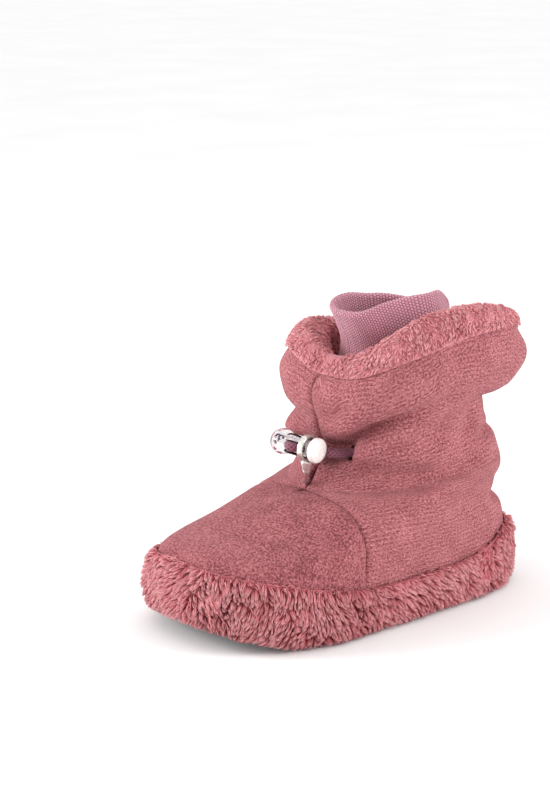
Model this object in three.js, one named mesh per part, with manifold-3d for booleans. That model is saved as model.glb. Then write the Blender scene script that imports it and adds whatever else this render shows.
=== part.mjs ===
// Baby bootie: fleece upper with a plush sidewall and collar, a knitted cuff, an elastic drawcord with a
// sprung cord lock, and a cloth outsole with rubber grips. Millimetres, +Z up, toe towards -Y, and the
// origin on the ground under the middle of the bootie.
import * as THREE from "three";
import { mergeVertices } from "three/addons/utils/BufferGeometryUtils.js";
import Module from "manifold-3d";

const wasm = await Module();
wasm.setup();

// ---- Driving dimensions -------------------------------------------------------------------------------

const SOLE = { length: 128, halfWidth: 30.9, frontRadius: 33, heelTaper: 0.31 };
const TOE_SPRING = { start: -22, end: -70, rise: 9 };
const GRIP_HEIGHT = 0.8;
const GAP = 0.3;
const OUTSOLE = { bottom: 0.85, thickness: 1.8 };
const INSOLE = { bottom: 3.3, thickness: 3.2, inset: 5.6 };
const FOOTBED = { bottom: 6.8, thickness: 1.4, inset: 6 };
const FLEECE = 2;
const LINING = { depth: 2.3, thickness: 1.4 };
const BAND = { bulge: 6.3, lip: 2.6, gap: 0.5 };
const COLLAR = { outerLeaf: 0.7, innerLeaf: 1.7, thickness: 2.2, crest: 3, gap: 0.75 };
const CUFF_THICKNESS = 2;
const CORD = { diameter: 3, pitch: 3.3, depth: 3.95 };
const SEAM = { vampY: -15.5, halfGap: 0.35, slitHalfGap: 1.5, slitLevel: 6.7 };
const BUTTONHOLE = { angle: 0.36, radius: 2.5, stretch: 2 };

const LOCK = {
  centre: new THREE.Vector3(0, -17.4, 55.7),
  turn: new THREE.Euler(0, THREE.MathUtils.degToRad(4), THREE.MathUtils.degToRad(11.5), "ZYX"),
  ballX: -6.6,
  ballRadius: 4.1,
  tubeRadius: 3.7,
  boreRadius: 2.9,
  boreEnd: -9,
  mouthX: 3.8,
  cordX: -0.7,
  travel: 1.8,
  stemRadius: 2.6,
  capX: 6.4,
  capRadius: 4.1,
  capThickness: 2.4,
};

// The upper's cross-sections from the sole edge to the rim. Each gives its front and back points in the
// middle plane, its half-width, how far its plan still follows the sole (1) or is a plain rounded oval (0),
// the oval's squareness, how much higher its outer (+X) side stands than its middle, and how far it dips at
// the front seam.
const SECTIONS = [
  { front: [-63, 3.4], back: [63, 3.4], half: 30, foot: 1, square: 2.2, lift: 0, dip: 0 },
  { front: [-65.5, 11], back: [65, 12], half: 32.5, foot: 1, square: 2.2, lift: 0, dip: 0 },
  { front: [-63.5, 19], back: [64, 22], half: 33.5, foot: 0.85, square: 2.1, lift: 0, dip: 0 },
  { front: [-56, 26], back: [62.5, 30], half: 33.5, foot: 0.6, square: 1.9, lift: 0, dip: 0 },
  { front: [-42, 33], back: [61.5, 36.5], half: 32, foot: 0.35, square: 1.75, lift: 0, dip: 0 },
  { front: [-28, 38.5], back: [61.2, 42], half: 31.5, foot: 0.15, square: 1.75, lift: 0, dip: 0 },
  { front: [-16, 41.5], back: [61.2, 47], half: 30.5, foot: 0, square: 1.9, lift: 0, dip: 0 },
  { front: [-11.5, 46.5], back: [59.5, 52], half: 29.5, foot: 0, square: 2.1, lift: 0, dip: 0 },
  { front: [-8, 53], back: [55.5, 58], half: 28, foot: 0, square: 2.3, lift: 0, dip: 0 },
  { front: [-10, 62], back: [52, 64], half: 29.5, foot: 0, square: 2.4, lift: 1, dip: 0 },
  { front: [-11.5, 70], back: [61, 70.5], half: 33.5, foot: 0, square: 2.5, lift: 3.5, dip: 0 },
  { front: [-9.5, 79], back: [64, 78], half: 33.5, foot: 0, square: 2.5, lift: 9, dip: 1.2 },
  { front: [-4, 87.5], back: [61.5, 85], half: 31, foot: 0, square: 2.4, lift: 13, dip: 3 },
];
const RIM = SECTIONS.length - 1;
const VAMP_TOP = 6;
const CINCH = 8;
const SPRING_FADES_AT = 5;
const CHANNEL_START = 0.62;

// The cuff's cross-sections from its sewn edge, inside the collar, to its folded top edge.
const CUFF_SECTIONS = [
  { z: 70, y: 26, half: 20, length: 22 },
  { z: 78, y: 26, half: 18.5, length: 22.5 },
  { z: 85, y: 25.5, half: 16, length: 22.5 },
  { z: 91, y: 24, half: 13.5, length: 24 },
  { z: 96, y: 22.5, half: 12.5, length: 24.5 },
];
const CUFF_CREST_Z = 97.4;
const CUFF_FRONT_RISE = 3.4;

// Rubber stars: distance from the toe end, sideways place (+ is the inner side) and radius.
const STARS = [
  { toe: 15.7, side: 21.4, radius: 2.1 },
  { toe: 11.6, side: 11.5, radius: 2.8 },
  { toe: 11.7, side: -1.2, radius: 3.7 },
  { toe: 15.8, side: -13.2, radius: 2.8 },
  { toe: 22.9, side: -21.1, radius: 1.9 },
  { toe: 27.1, side: 24.3, radius: 2.1 },
  { toe: 30.7, side: 15.3, radius: 3 },
  { toe: 31.9, side: 1.7, radius: 7.5 },
  { toe: 36.4, side: -12.4, radius: 3 },
  { toe: 37.9, side: -22.3, radius: 2.1 },
  { toe: 46.2, side: 24.6, radius: 2.1 },
  { toe: 51.8, side: 17.8, radius: 3.5 },
  { toe: 53.5, side: 4.2, radius: 3.7 },
  { toe: 54.2, side: -8.9, radius: 3.3 },
  { toe: 53.4, side: -20.2, radius: 1.7 },
];
const HEEL_GRIP = { y: 47, rings: [{ outer: 13, inner: 11 }, { outer: 9, inner: 7 }], disc: 5 };

const COLOURS = {
  fleece: { color: 0xb9727a, roughness: 0.95, metalness: 0 },
  plush: { color: 0xb36a70, roughness: 1, metalness: 0 },
  lining: { color: 0xc58a8d, roughness: 0.95, metalness: 0 },
  knit: { color: 0xad6e7c, roughness: 0.9, metalness: 0 },
  cord: { color: 0x94536a, roughness: 0.8, metalness: 0 },
  twill: { color: 0x161618, roughness: 0.85, metalness: 0 },
  rubber: { color: 0x0c0c0e, roughness: 0.25, metalness: 0 },
  foam: { color: 0xe8e2da, roughness: 1, metalness: 0 },
  clear: { color: 0xf2eef0, roughness: 0.05, metalness: 0 },
  chrome: { color: 0xd8d4cf, roughness: 0.08, metalness: 1 },
  pearl: { color: 0xf7f3f1, roughness: 0.3, metalness: 0 },
  steel: { color: 0x8b8c90, roughness: 0.3, metalness: 1 },
};

// ---- Small tools ----------------------------------------------------------------------------------------

const { clamp, lerp, smoothstep } = THREE.MathUtils;
const signedPower = (value, power) => Math.sign(value) * Math.abs(value) ** power;
const bump = (distance, reach) => Math.exp(-((distance / reach) ** 2));

// Smooth curve through the numbers of a list, read at a fractional place in it.
function alongList(list, place) {
  const i = clamp(Math.floor(place), 0, list.length - 2);
  const t = place - i;
  const at = (k) => list[clamp(k, 0, list.length - 1)];
  const [a, b, c, d] = [at(i - 1), at(i), at(i + 1), at(i + 2)];
  const slopeIn = (c - a) / 2;
  const slopeOut = (d - b) / 2;
  const bend = 3 * (c - b) - 2 * slopeIn - slopeOut;
  const twist = 2 * (b - c) + slopeIn + slopeOut;
  return b + t * (slopeIn + t * (bend + t * twist));
}

// Closed geometry from a grid of points whose rows are closed rings, the last joined back to the first. Each
// ring turns anticlockwise seen from the next ring's side.
function loopGeometry(rings) {
  const around = rings[0].length;
  const positions = rings.flat().flatMap((p) => [p.x, p.y, p.z]);
  const index = [];
  const corner = (i, j) => (i % rings.length) * around + (j % around);
  for (let i = 0; i < rings.length; i++)
    for (let j = 0; j < around; j++) {
      index.push(corner(i, j), corner(i, j + 1), corner(i + 1, j + 1));
      index.push(corner(i, j), corner(i + 1, j + 1), corner(i + 1, j));
    }
  return geometryOf(positions, index);
}

// Closed geometry of a sheet between an upper and a lower grid of points with the same rows and columns.
function sheetGeometry(upper, lower) {
  const rows = upper.length;
  const columns = upper[0].length;
  const positions = [...upper.flat(), ...lower.flat()].flatMap((p) => [p.x, p.y, p.z]);
  const index = [];
  const top = (i, j) => i * columns + j;
  const under = (i, j) => rows * columns + i * columns + j;
  const quad = (a, b, c, d) => index.push(a, b, c, a, c, d);
  for (let i = 0; i < rows - 1; i++)
    for (let j = 0; j < columns - 1; j++) {
      quad(top(i, j), top(i, j + 1), top(i + 1, j + 1), top(i + 1, j));
      quad(under(i, j), under(i + 1, j), under(i + 1, j + 1), under(i, j + 1));
    }
  for (let j = 0; j < columns - 1; j++) {
    quad(top(0, j), under(0, j), under(0, j + 1), top(0, j + 1));
    quad(top(rows - 1, j), top(rows - 1, j + 1), under(rows - 1, j + 1), under(rows - 1, j));
  }
  for (let i = 0; i < rows - 1; i++) {
    quad(top(i, 0), top(i + 1, 0), under(i + 1, 0), under(i, 0));
    quad(top(i, columns - 1), under(i, columns - 1), under(i + 1, columns - 1), top(i + 1, columns - 1));
  }
  return geometryOf(positions, index);
}

function geometryOf(positions, index) {
  const geometry = new THREE.BufferGeometry();
  geometry.setAttribute("position", new THREE.Float32BufferAttribute(positions, 3));
  geometry.setIndex(index);
  return geometry;
}

function solidOf(geometry) {
  const bare = geometry.clone();
  bare.deleteAttribute("normal");
  bare.deleteAttribute("uv");
  const merged = mergeVertices(bare, 1e-3);
  return new wasm.Manifold(
    new wasm.Mesh({
      numProp: 3,
      vertProperties: new Float32Array(merged.attributes.position.array),
      triVerts: new Uint32Array(merged.index.array),
    }),
  );
}

function geometryOfSolid(solid) {
  const mesh = solid.getMesh();
  return geometryOf(Array.from(mesh.vertProperties), Array.from(mesh.triVerts));
}

const cut = (body, ...tools) =>
  geometryOfSolid(tools.reduce((solid, tool) => solid.subtract(solidOf(tool)), solidOf(body)));
const join = (body, extra) => geometryOfSolid(solidOf(body).add(solidOf(extra)));

// A turned part about the X axis from [x, radius] points.
function turned(points, segments = 18) {
  const profile = points.map(([x, radius]) => new THREE.Vector2(radius, x));
  return new THREE.LatheGeometry(profile, segments).rotateZ(-Math.PI / 2);
}

const bootie = new THREE.Group();
const cordLock = new THREE.Group();
cordLock.position.copy(LOCK.centre);
cordLock.rotation.copy(LOCK.turn);
bootie.add(cordLock);

function add(name, geometry, colour, parent = bootie) {
  const mesh = new THREE.Mesh(geometry, new THREE.MeshStandardMaterial(COLOURS[colour]));
  mesh.name = name;
  parent.add(mesh);
  return mesh;
}

// ---- The sole's plan ------------------------------------------------------------------------------------

const HALF_LENGTH = SOLE.length / 2;
const WIDEST_Y = SOLE.frontRadius - HALF_LENGTH;

// Half-width of the sole at y: a squared-off half oval in front, a taper to a round heel behind.
function soleHalfWidth(y) {
  if (y < WIDEST_Y) {
    const t = clamp((WIDEST_Y - y) / SOLE.frontRadius, 0, 1);
    return SOLE.halfWidth * (1 - t ** 2.5) ** (1 / 2.5);
  }
  const s = clamp((y - WIDEST_Y) / (HALF_LENGTH - WIDEST_Y), 0, 1);
  return SOLE.halfWidth * (1 - SOLE.heelTaper * s ** 1.1) * (1 - s ** 8) ** (1 / 3);
}

// Height by which the sole's front end curls up from the ground.
function toeSpring(y) {
  const t = Math.max(0, (TOE_SPRING.start - y) / (TOE_SPRING.start - TOE_SPRING.end));
  return TOE_SPRING.rise * t * t;
}

// Sole outline at an angle round the foot: 0 at the toe, a quarter turn at the outer (+X) side, a half at the
// heel. The angle is spread so that the points stand evenly along the edge.
function solePoint(angle) {
  const y = -HALF_LENGTH * Math.cos(angle);
  const side = Math.sin(angle);
  return new THREE.Vector2(Math.sign(side) * soleHalfWidth(y), y);
}

function soleNormal(angle) {
  const step = 0.02;
  const along = solePoint(angle + step).sub(solePoint(angle - step));
  return new THREE.Vector2(along.y, -along.x).normalize();
}

// A flat layer of the sole, with its edge set in from the outline.
function soleLayer({ bottom, thickness, inset = 0 }) {
  const rows = 21;
  const columns = 5;
  const grid = (height) =>
    Array.from({ length: rows }, (_, i) => {
      const along = -Math.cos(0.06 + ((Math.PI - 0.12) * i) / (rows - 1));
      const y = along * (HALF_LENGTH - inset);
      const half = soleHalfWidth(along * HALF_LENGTH) * (1 - inset / SOLE.halfWidth);
      return Array.from(
        { length: columns },
        (_, j) => new THREE.Vector3(lerp(-half, half, j / (columns - 1)), y, height + toeSpring(y)),
      );
    });
  return sheetGeometry(grid(bottom + thickness), grid(bottom));
}

// ---- The upper's surface --------------------------------------------------------------------------------

const column = (pick) => SECTIONS.map(pick);
const FRONT_Y = column((s) => s.front[0]);
const FRONT_Z = column((s) => s.front[1]);
const BACK_Y = column((s) => s.back[0]);
const BACK_Z = column((s) => s.back[1]);
const HALF = column((s) => s.half);
const FOOT = column((s) => s.foot);
const SQUARE = column((s) => s.square);
const LIFT = column((s) => s.lift);
const DIP = column((s) => s.dip);

// Point on the upper's outer surface: level counts the sections from the sole to the rim, angle goes round
// from the front.
function upperPoint(level, angle) {
  const front = alongList(FRONT_Y, level);
  const back = alongList(BACK_Y, level);
  const power = 2 / alongList(SQUARE, level);
  const foot = clamp(alongList(FOOT, level), 0, 1);
  const sole = solePoint(angle);
  const across = lerp(signedPower(Math.sin(angle), power), sole.x / SOLE.halfWidth, foot);
  const along = lerp(-signedPower(Math.cos(angle), power), sole.y / HALF_LENGTH, foot);
  const y = (front + back) / 2 + (along * (back - front)) / 2;
  const rise = toeSpring(y) * (1 - smoothstep(level, 2, SPRING_FADES_AT));
  const lift = alongList(LIFT, level) * smoothstep(across, -0.2, 1) * (1 - 0.4 * along ** 2);
  const dip = alongList(DIP, level) * bump(across, 0.4) * smoothstep(-along, 0, 1);
  const z = lerp(alongList(FRONT_Z, level), alongList(BACK_Z, level), (1 + along) / 2) + rise + lift - dip;
  return new THREE.Vector3(across * alongList(HALF, level), y, z);
}

function upperNormal(level, angle) {
  const step = 0.02;
  const low = clamp(level - step, 0, RIM - step);
  const up = upperPoint(low + step, angle).sub(upperPoint(low, angle));
  const round = upperPoint(level, angle + step).sub(upperPoint(level, angle - step));
  return round.cross(up).normalize();
}

function atDepth(level, angle, depth) {
  return upperPoint(level, angle).addScaledVector(upperNormal(level, angle), -depth);
}

// Angle at which a level of the upper reaches a plane across the foot, such as the vamp's seam.
function angleAtY(level, y) {
  let near = 0;
  let far = Math.PI * 0.75;
  for (let i = 0; i < 30; i++) {
    const middle = (near + far) / 2;
    if (upperPoint(level, middle).y < y) near = middle;
    else far = middle;
  }
  return near;
}

// The angle that a gap of this width takes at a level.
const gapAngle = (level, gap) => gap / alongList(HALF, level);

// How far a lining stands under the fleece: it leaves a channel for the drawcord round the ankle.
const liningDepth = (level) =>
  LINING.depth + (CORD.diameter + 0.5) * smoothstep(0.9 - Math.abs(level - CINCH), 0, 0.45);

const VAMP_LEVELS = [0, 0.6, 1.3, 2, 2.7, 3.4, 4, 4.6, 5.1, 5.5, 5.8, 5.92];
const SHAFT_LEVELS = [6.08, 6.6, 7.1, 7.6, 8, 8.4, 8.9, 9.6, 10.4, 11.2, RIM];
const VAMP_COLUMNS = 14;
const QUARTER_COLUMNS = 12;

function vampPanel(depth, thickness) {
  const grid = (extra) =>
    VAMP_LEVELS.map((level) => {
      const half = Math.max(angleAtY(level, SEAM.vampY - SEAM.halfGap), 0.03);
      return Array.from({ length: VAMP_COLUMNS + 1 }, (_, j) =>
        atDepth(level, lerp(-half, half, j / VAMP_COLUMNS), depth + extra),
      );
    });
  return sheetGeometry(grid(0), grid(thickness));
}

// One side of the shaft, from the vamp's seam or the front seam round to the back seam. side is 1 for the
// outer (+X) one. The front seam stays open in a slit just above the vamp.
function quarterPanel(side, depthAt, thickness) {
  const slitExtra = SEAM.slitHalfGap - SEAM.halfGap;
  const grid = (extra) =>
    [...VAMP_LEVELS, ...SHAFT_LEVELS].map((level) => {
      const frontGap = SEAM.halfGap + slitExtra * bump(level - SEAM.slitLevel, 0.6);
      const start = Math.max(
        angleAtY(level, SEAM.vampY + SEAM.halfGap),
        gapAngle(level, level < VAMP_TOP ? SEAM.halfGap : frontGap),
      );
      const end = Math.PI - gapAngle(level, SEAM.halfGap);
      return Array.from({ length: QUARTER_COLUMNS + 1 }, (_, j) =>
        atDepth(level, side * lerp(start, end, j / QUARTER_COLUMNS), depthAt(level) + extra),
      );
    });
  return side > 0 ? sheetGeometry(grid(0), grid(thickness)) : sheetGeometry(grid(thickness), grid(0));
}

// ---- Plush sidewall, collar and cuff ----------------------------------------------------------------------

// Height of the sidewall's sewn upper edge at y: lowest beside the ball of the foot.
function bandTop(y) {
  const lowest = -16;
  if (y < lowest) return 18 + 7 * ((y - lowest) / 54) ** 2;
  return 18 + 5 * Math.sin((Math.PI / 2) * Math.min(1, (y - lowest) / 80));
}

// Level of the upper at a given height.
function levelAtHeight(angle, height) {
  let low = 0;
  let high = 4;
  for (let i = 0; i < 24; i++) {
    const middle = (low + high) / 2;
    if (upperPoint(middle, angle).z < height) low = middle;
    else high = middle;
  }
  return low;
}

// Angles round the foot with an even spacing along the edge.
function ringAngles(count) {
  const fine = 720;
  const points = Array.from({ length: fine + 1 }, (_, k) => solePoint((2 * Math.PI * k) / fine));
  const reach = [0];
  for (let k = 1; k <= fine; k++) reach.push(reach[k - 1] + points[k].distanceTo(points[k - 1]));
  let k = 0;
  return Array.from({ length: count }, (_, i) => {
    while (reach[k + 1] < (reach[fine] * i) / count) k++;
    return (2 * Math.PI * k) / fine;
  });
}

function plushBand() {
  const innerSteps = 4;
  const rings = ringAngles(48).map((angle) => {
    const edge = solePoint(angle);
    const out = soleNormal(angle);
    const spring = toeSpring(edge.y);
    const top = bandTop(edge.y);
    const outside = (offset, z) =>
      new THREE.Vector3(edge.x + out.x * offset, edge.y + out.y * offset, z + spring * (1 - z / 60));
    const topLevel = levelAtHeight(angle, top);
    const inner = Array.from({ length: innerSteps + 1 }, (_, k) =>
      atDepth(lerp(0.02, topLevel, k / innerSteps), angle, -BAND.gap),
    );
    const lip = atDepth(topLevel, angle, -BAND.lip).setZ(top + 0.8);
    const wall = top - spring;
    return [
      ...inner,
      lip,
      outside(BAND.bulge - 1.4, 0.85 * wall),
      outside(BAND.bulge, 0.62 * wall),
      outside(BAND.bulge, 0.36 * wall),
      outside(5.4, 3),
      outside(3.2, GRIP_HEIGHT),
      outside(0.4, GRIP_HEIGHT - 0.1),
      outside(0.4, OUTSOLE.bottom + OUTSOLE.thickness + GAP),
    ];
  });
  return loopGeometry(rings);
}

// The collar wraps the rim: an outer leaf, a rounded crest and a longer leaf inside.
function plushCollar() {
  const shell = LINING.depth + LINING.thickness;
  const outside = COLLAR.gap + COLLAR.thickness;
  const inside = shell + COLLAR.gap + COLLAR.thickness;
  const count = 38;
  const rings = Array.from({ length: count }, (_, i) => {
    const angle = (-2 * Math.PI * i) / count;
    const rim = upperPoint(RIM, angle);
    const up = rim.clone().sub(upperPoint(RIM - 0.3, angle)).normalize();
    const out = upperNormal(RIM, angle);
    const over = (rise, depth) => rim.clone().addScaledVector(up, rise).addScaledVector(out, -depth);
    return [
      atDepth(RIM - COLLAR.outerLeaf, angle, -COLLAR.gap),
      atDepth(RIM - COLLAR.outerLeaf + 0.1, angle, -outside),
      atDepth(RIM - 0.3, angle, -outside - 0.6),
      over(COLLAR.crest * 0.6, -outside + 0.6),
      over(COLLAR.crest, (inside - outside) / 2),
      over(COLLAR.crest * 0.6, inside - 0.6),
      atDepth(RIM - 0.4, angle, inside + 0.3),
      atDepth(RIM - 1.2, angle, inside),
      atDepth(RIM - COLLAR.innerLeaf, angle, inside),
      atDepth(RIM - COLLAR.innerLeaf, angle, shell + COLLAR.gap),
      atDepth(RIM - 1.2, angle, shell + COLLAR.gap),
      over(COLLAR.gap, shell + COLLAR.gap),
      over(COLLAR.gap, -COLLAR.gap),
      atDepth(RIM - 0.35, angle, -COLLAR.gap),
    ];
  });
  return loopGeometry(rings);
}

function ribCuff() {
  const around = 36;
  const oval = ({ z, y, half, length }, inset) =>
    Array.from({ length: around }, (_, j) => {
      const angle = (2 * Math.PI * j) / around;
      const rise = CUFF_FRONT_RISE * (0.5 + Math.cos(angle) / 2) * smoothstep(z, 80, CUFF_CREST_Z);
      return new THREE.Vector3(
        signedPower(Math.sin(angle), 0.9) * (half - inset),
        y - signedPower(Math.cos(angle), 0.9) * (length - inset),
        z + rise,
      );
    });
  const outer = CUFF_SECTIONS.map((section) => oval(section, 0));
  const crest = oval({ ...CUFF_SECTIONS.at(-1), z: CUFF_CREST_Z }, CUFF_THICKNESS / 2);
  const inner = CUFF_SECTIONS.map((section) => oval(section, CUFF_THICKNESS)).reverse();
  return loopGeometry([...outer, crest, ...inner]);
}

// ---- Drawcord -------------------------------------------------------------------------------------------

const lockPlace = (x, y, z) => new THREE.Vector3(x, y, z).applyEuler(LOCK.turn).add(LOCK.centre);

// Half of the cord's route from the bight in front of the lock to the back of the ankle, on one side.
function cordHalf(side) {
  const strand = LOCK.cordX + (side * CORD.pitch) / 2;
  const hole = atDepth(CINCH, side * BUTTONHOLE.angle, 0.9);
  const outside = [
    lockPlace(strand, -1.7, 0),
    lockPlace(strand, 1, 0),
    lockPlace(strand, 3.2, 0),
    lockPlace(strand + side * 0.1, 4.9, 0),
    new THREE.Vector3(side * 2.7 - 1.8, -11.1, 54.6),
    new THREE.Vector3(side * 4.6 - 1.2, -10.1, 53.8),
    new THREE.Vector3(side * 7.2, -9.6, 53.2),
    hole,
  ];
  const steps = 12;
  const channel = Array.from({ length: steps }, (_, i) =>
    atDepth(CINCH, side * lerp(CHANNEL_START, Math.PI, i / steps), CORD.depth),
  );
  return [...outside, ...channel];
}

function drawcord() {
  const back = atDepth(CINCH, Math.PI, CORD.depth);
  const outer = cordHalf(1);
  const inner = cordHalf(-1).reverse();
  const bight = lockPlace(LOCK.cordX, -3.4, 0);
  const route = new THREE.CatmullRomCurve3([bight, ...outer, back, ...inner], true, "centripetal");
  const steps = 76;
  const sides = 8;
  const radius = CORD.diameter / 2;
  const frames = route.computeFrenetFrames(steps, true);
  const rings = Array.from({ length: steps }, (_, i) => {
    const middle = route.getPointAt(i / steps);
    return Array.from({ length: sides }, (_, j) => {
      const angle = (2 * Math.PI * j) / sides;
      return middle
        .clone()
        .addScaledVector(frames.normals[i], Math.cos(angle) * radius)
        .addScaledVector(frames.binormals[i], Math.sin(angle) * radius);
    });
  });
  return loopGeometry(rings);
}

function buttonholeCutter(side) {
  const angle = side * BUTTONHOLE.angle;
  const out = upperNormal(CINCH, angle);
  const level = new THREE.Vector3().crossVectors(out, new THREE.Vector3(0, 0, 1)).normalize();
  const place = new THREE.Matrix4()
    .makeBasis(level, out, new THREE.Vector3().crossVectors(level, out))
    .setPosition(upperPoint(CINCH, angle));
  return new THREE.CylinderGeometry(BUTTONHOLE.radius, BUTTONHOLE.radius, 9, 14)
    .scale(BUTTONHOLE.stretch, 1, 1)
    .applyMatrix4(place);
}

// ---- Cord lock, built along its own X axis -------------------------------------------------------------------

function lockBarrel() {
  const neckX = LOCK.ballX + Math.sqrt(LOCK.ballRadius ** 2 - LOCK.tubeRadius ** 2);
  const ball = [];
  const steps = 9;
  const last = Math.PI - Math.atan2(LOCK.tubeRadius, neckX - LOCK.ballX);
  for (let i = 0; i <= steps; i++) {
    const angle = (last * i) / steps;
    ball.push([
      LOCK.ballX - Math.cos(angle) * LOCK.ballRadius,
      i === 0 ? 0 : Math.sin(angle) * LOCK.ballRadius,
    ]);
  }
  const body = turned([
    ...ball,
    [LOCK.mouthX, LOCK.tubeRadius],
    [LOCK.mouthX, LOCK.boreRadius],
    [LOCK.boreEnd, LOCK.boreRadius],
    [LOCK.boreEnd, 0],
  ]);
  return cut(body, cordSlot(LOCK.cordX, CORD.pitch + CORD.diameter + 0.5, CORD.diameter + 0.5));
}

// A slot with round ends that passes right through the lock from front to back.
function cordSlot(middle, width, height) {
  const straight = (width - height) / 2;
  const shape = new THREE.Shape();
  shape.absarc(straight, 0, height / 2, -Math.PI / 2, Math.PI / 2);
  shape.absarc(-straight, 0, height / 2, Math.PI / 2, (3 * Math.PI) / 2);
  return new THREE.ExtrudeGeometry(shape, { depth: 12, bevelEnabled: false, curveSegments: 8 })
    .translate(middle, 0, -6)
    .rotateX(Math.PI / 2);
}

// Stem with a window for the cord, and the round cap that the finger presses.
function lockPlunger() {
  const slack = 0.25;
  const cordHalfWidth = (CORD.pitch + CORD.diameter) / 2;
  const windowStart = LOCK.cordX - cordHalfWidth - slack;
  const windowEnd = LOCK.cordX + cordHalfWidth + slack + LOCK.travel;
  const back = LOCK.capX;
  const face = LOCK.capX + LOCK.capThickness;
  const body = turned([
    [windowStart - 1, 0],
    [windowStart - 1, LOCK.stemRadius],
    [back, LOCK.stemRadius],
    [back, LOCK.capRadius - 0.3],
    [back + 0.3, LOCK.capRadius],
    [face - 0.7, LOCK.capRadius],
    [face - 0.25, LOCK.capRadius - 0.2],
    [face, LOCK.capRadius - 0.7],
    [face, 0],
  ]);
  const width = windowEnd - windowStart;
  return cut(body, cordSlot((windowStart + windowEnd) / 2, width, CORD.diameter + 0.5));
}

function lockSpring() {
  const wire = 0.25;
  const radius = 1.9;
  const start = LOCK.boreEnd + wire + 0.1;
  const end = LOCK.cordX - (CORD.pitch + CORD.diameter) / 2 - 0.25 - 1 - wire - 0.15;
  const coils = 3.5;
  const points = [];
  const steps = coils * 10;
  for (let i = 0; i <= steps; i++) {
    const angle = (2 * Math.PI * coils * i) / steps;
    const x = lerp(start, end, i / steps);
    points.push(new THREE.Vector3(x, Math.cos(angle) * radius, Math.sin(angle) * radius));
  }
  const section = new THREE.Shape().absarc(0, 0, wire, 0, 2 * Math.PI);
  return new THREE.ExtrudeGeometry(section, {
    steps,
    extrudePath: new THREE.CatmullRomCurve3(points),
    curveSegments: 3,
    bevelEnabled: false,
  });
}

// Bright ring round the barrel's mouth, with a tapered lug below it that holds the tether.
const RING = { start: 2.8, end: 4.4, inner: 3.95, outer: 4.7, lugX: 3.6, lugTop: 4.2, lugEnd: 8.6 };

function lockRing() {
  const { start, end, inner, outer } = RING;
  const hoop = turned([
    [start, inner],
    [start, outer - 0.25],
    [start + 0.3, outer],
    [end - 0.3, outer],
    [end, outer - 0.25],
    [end, inner],
    [start, inner],
  ]);
  const length = RING.lugEnd - RING.lugTop;
  const lug = new THREE.CylinderGeometry(1.5, 0.75, length, 14)
    .scale(0.56, 1, 1)
    .rotateX(Math.PI / 2)
    .translate(RING.lugX, 0, -RING.lugTop - length / 2);
  return join(hoop, lug);
}

// Tape that ties the lock's ring to the bootie: its lower end is sewn into the front slit.
function tetherTab() {
  const start = lockPlace(RING.lugX, 0, -RING.lugEnd - 0.3);
  const path = new THREE.CatmullRomCurve3([
    start,
    new THREE.Vector3(2.6, -16.4, 45),
    new THREE.Vector3(1, -16, 44),
    new THREE.Vector3(0, -14.8, 43.4),
    new THREE.Vector3(0, -12.9, 43.6),
  ]);
  const section = new THREE.Shape([
    new THREE.Vector2(-0.5, -0.9),
    new THREE.Vector2(0.5, -0.9),
    new THREE.Vector2(0.5, 0.9),
    new THREE.Vector2(-0.5, 0.9),
  ]);
  return new THREE.ExtrudeGeometry(section, { steps: 10, extrudePath: path, bevelEnabled: false });
}

// ---- Grips ----------------------------------------------------------------------------------------------

function starGrip({ radius }) {
  const waist = 0.45;
  const shape = new THREE.Shape();
  for (let i = 0; i < 10; i++) {
    const reach = i % 2 ? radius * waist : radius;
    const angle = (Math.PI * i) / 5 - Math.PI / 2;
    const point = new THREE.Vector2(Math.cos(angle) * reach, Math.sin(angle) * reach);
    if (i) shape.lineTo(point.x, point.y);
    else shape.moveTo(point.x, point.y);
  }
  return new THREE.ExtrudeGeometry(shape, { depth: GRIP_HEIGHT, bevelEnabled: false });
}

function ringGrip({ outer, inner }) {
  const shape = new THREE.Shape().absarc(0, 0, outer, 0, 2 * Math.PI);
  shape.holes.push(new THREE.Path().absarc(0, 0, inner, 0, 2 * Math.PI, true));
  return new THREE.ExtrudeGeometry(shape, { depth: GRIP_HEIGHT, bevelEnabled: false, curveSegments: 10 });
}

// ---- Assembly -------------------------------------------------------------------------------------------

add("outsole", soleLayer(OUTSOLE), "twill");
add("insole_foam", soleLayer(INSOLE), "foam");
add("footbed_cover", soleLayer(FOOTBED), "lining");
add("plush_sidewall", plushBand(), "plush");

add("vamp", vampPanel(0, FLEECE), "fleece");
for (const [name, side] of [["outer", 1], ["inner", -1]]) {
  const shell = quarterPanel(side, () => 0, FLEECE);
  add(`quarter_${name}`, cut(shell, buttonholeCutter(side)), "fleece");
  add(`quarter_lining_${name}`, quarterPanel(side, liningDepth, LINING.thickness), "lining");
}
add("vamp_lining", vampPanel(LINING.depth, LINING.thickness), "lining");
add("plush_collar", plushCollar(), "plush");
add("rib_cuff", ribCuff(), "knit");

add("drawcord", drawcord(), "cord");
add("tether_tab", tetherTab(), "cord");
add("lock_barrel", lockBarrel(), "clear", cordLock);
add("lock_ring", lockRing(), "chrome", cordLock);
add("lock_plunger", lockPlunger(), "pearl", cordLock);
add("lock_spring", lockSpring(), "steel", cordLock);

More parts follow.
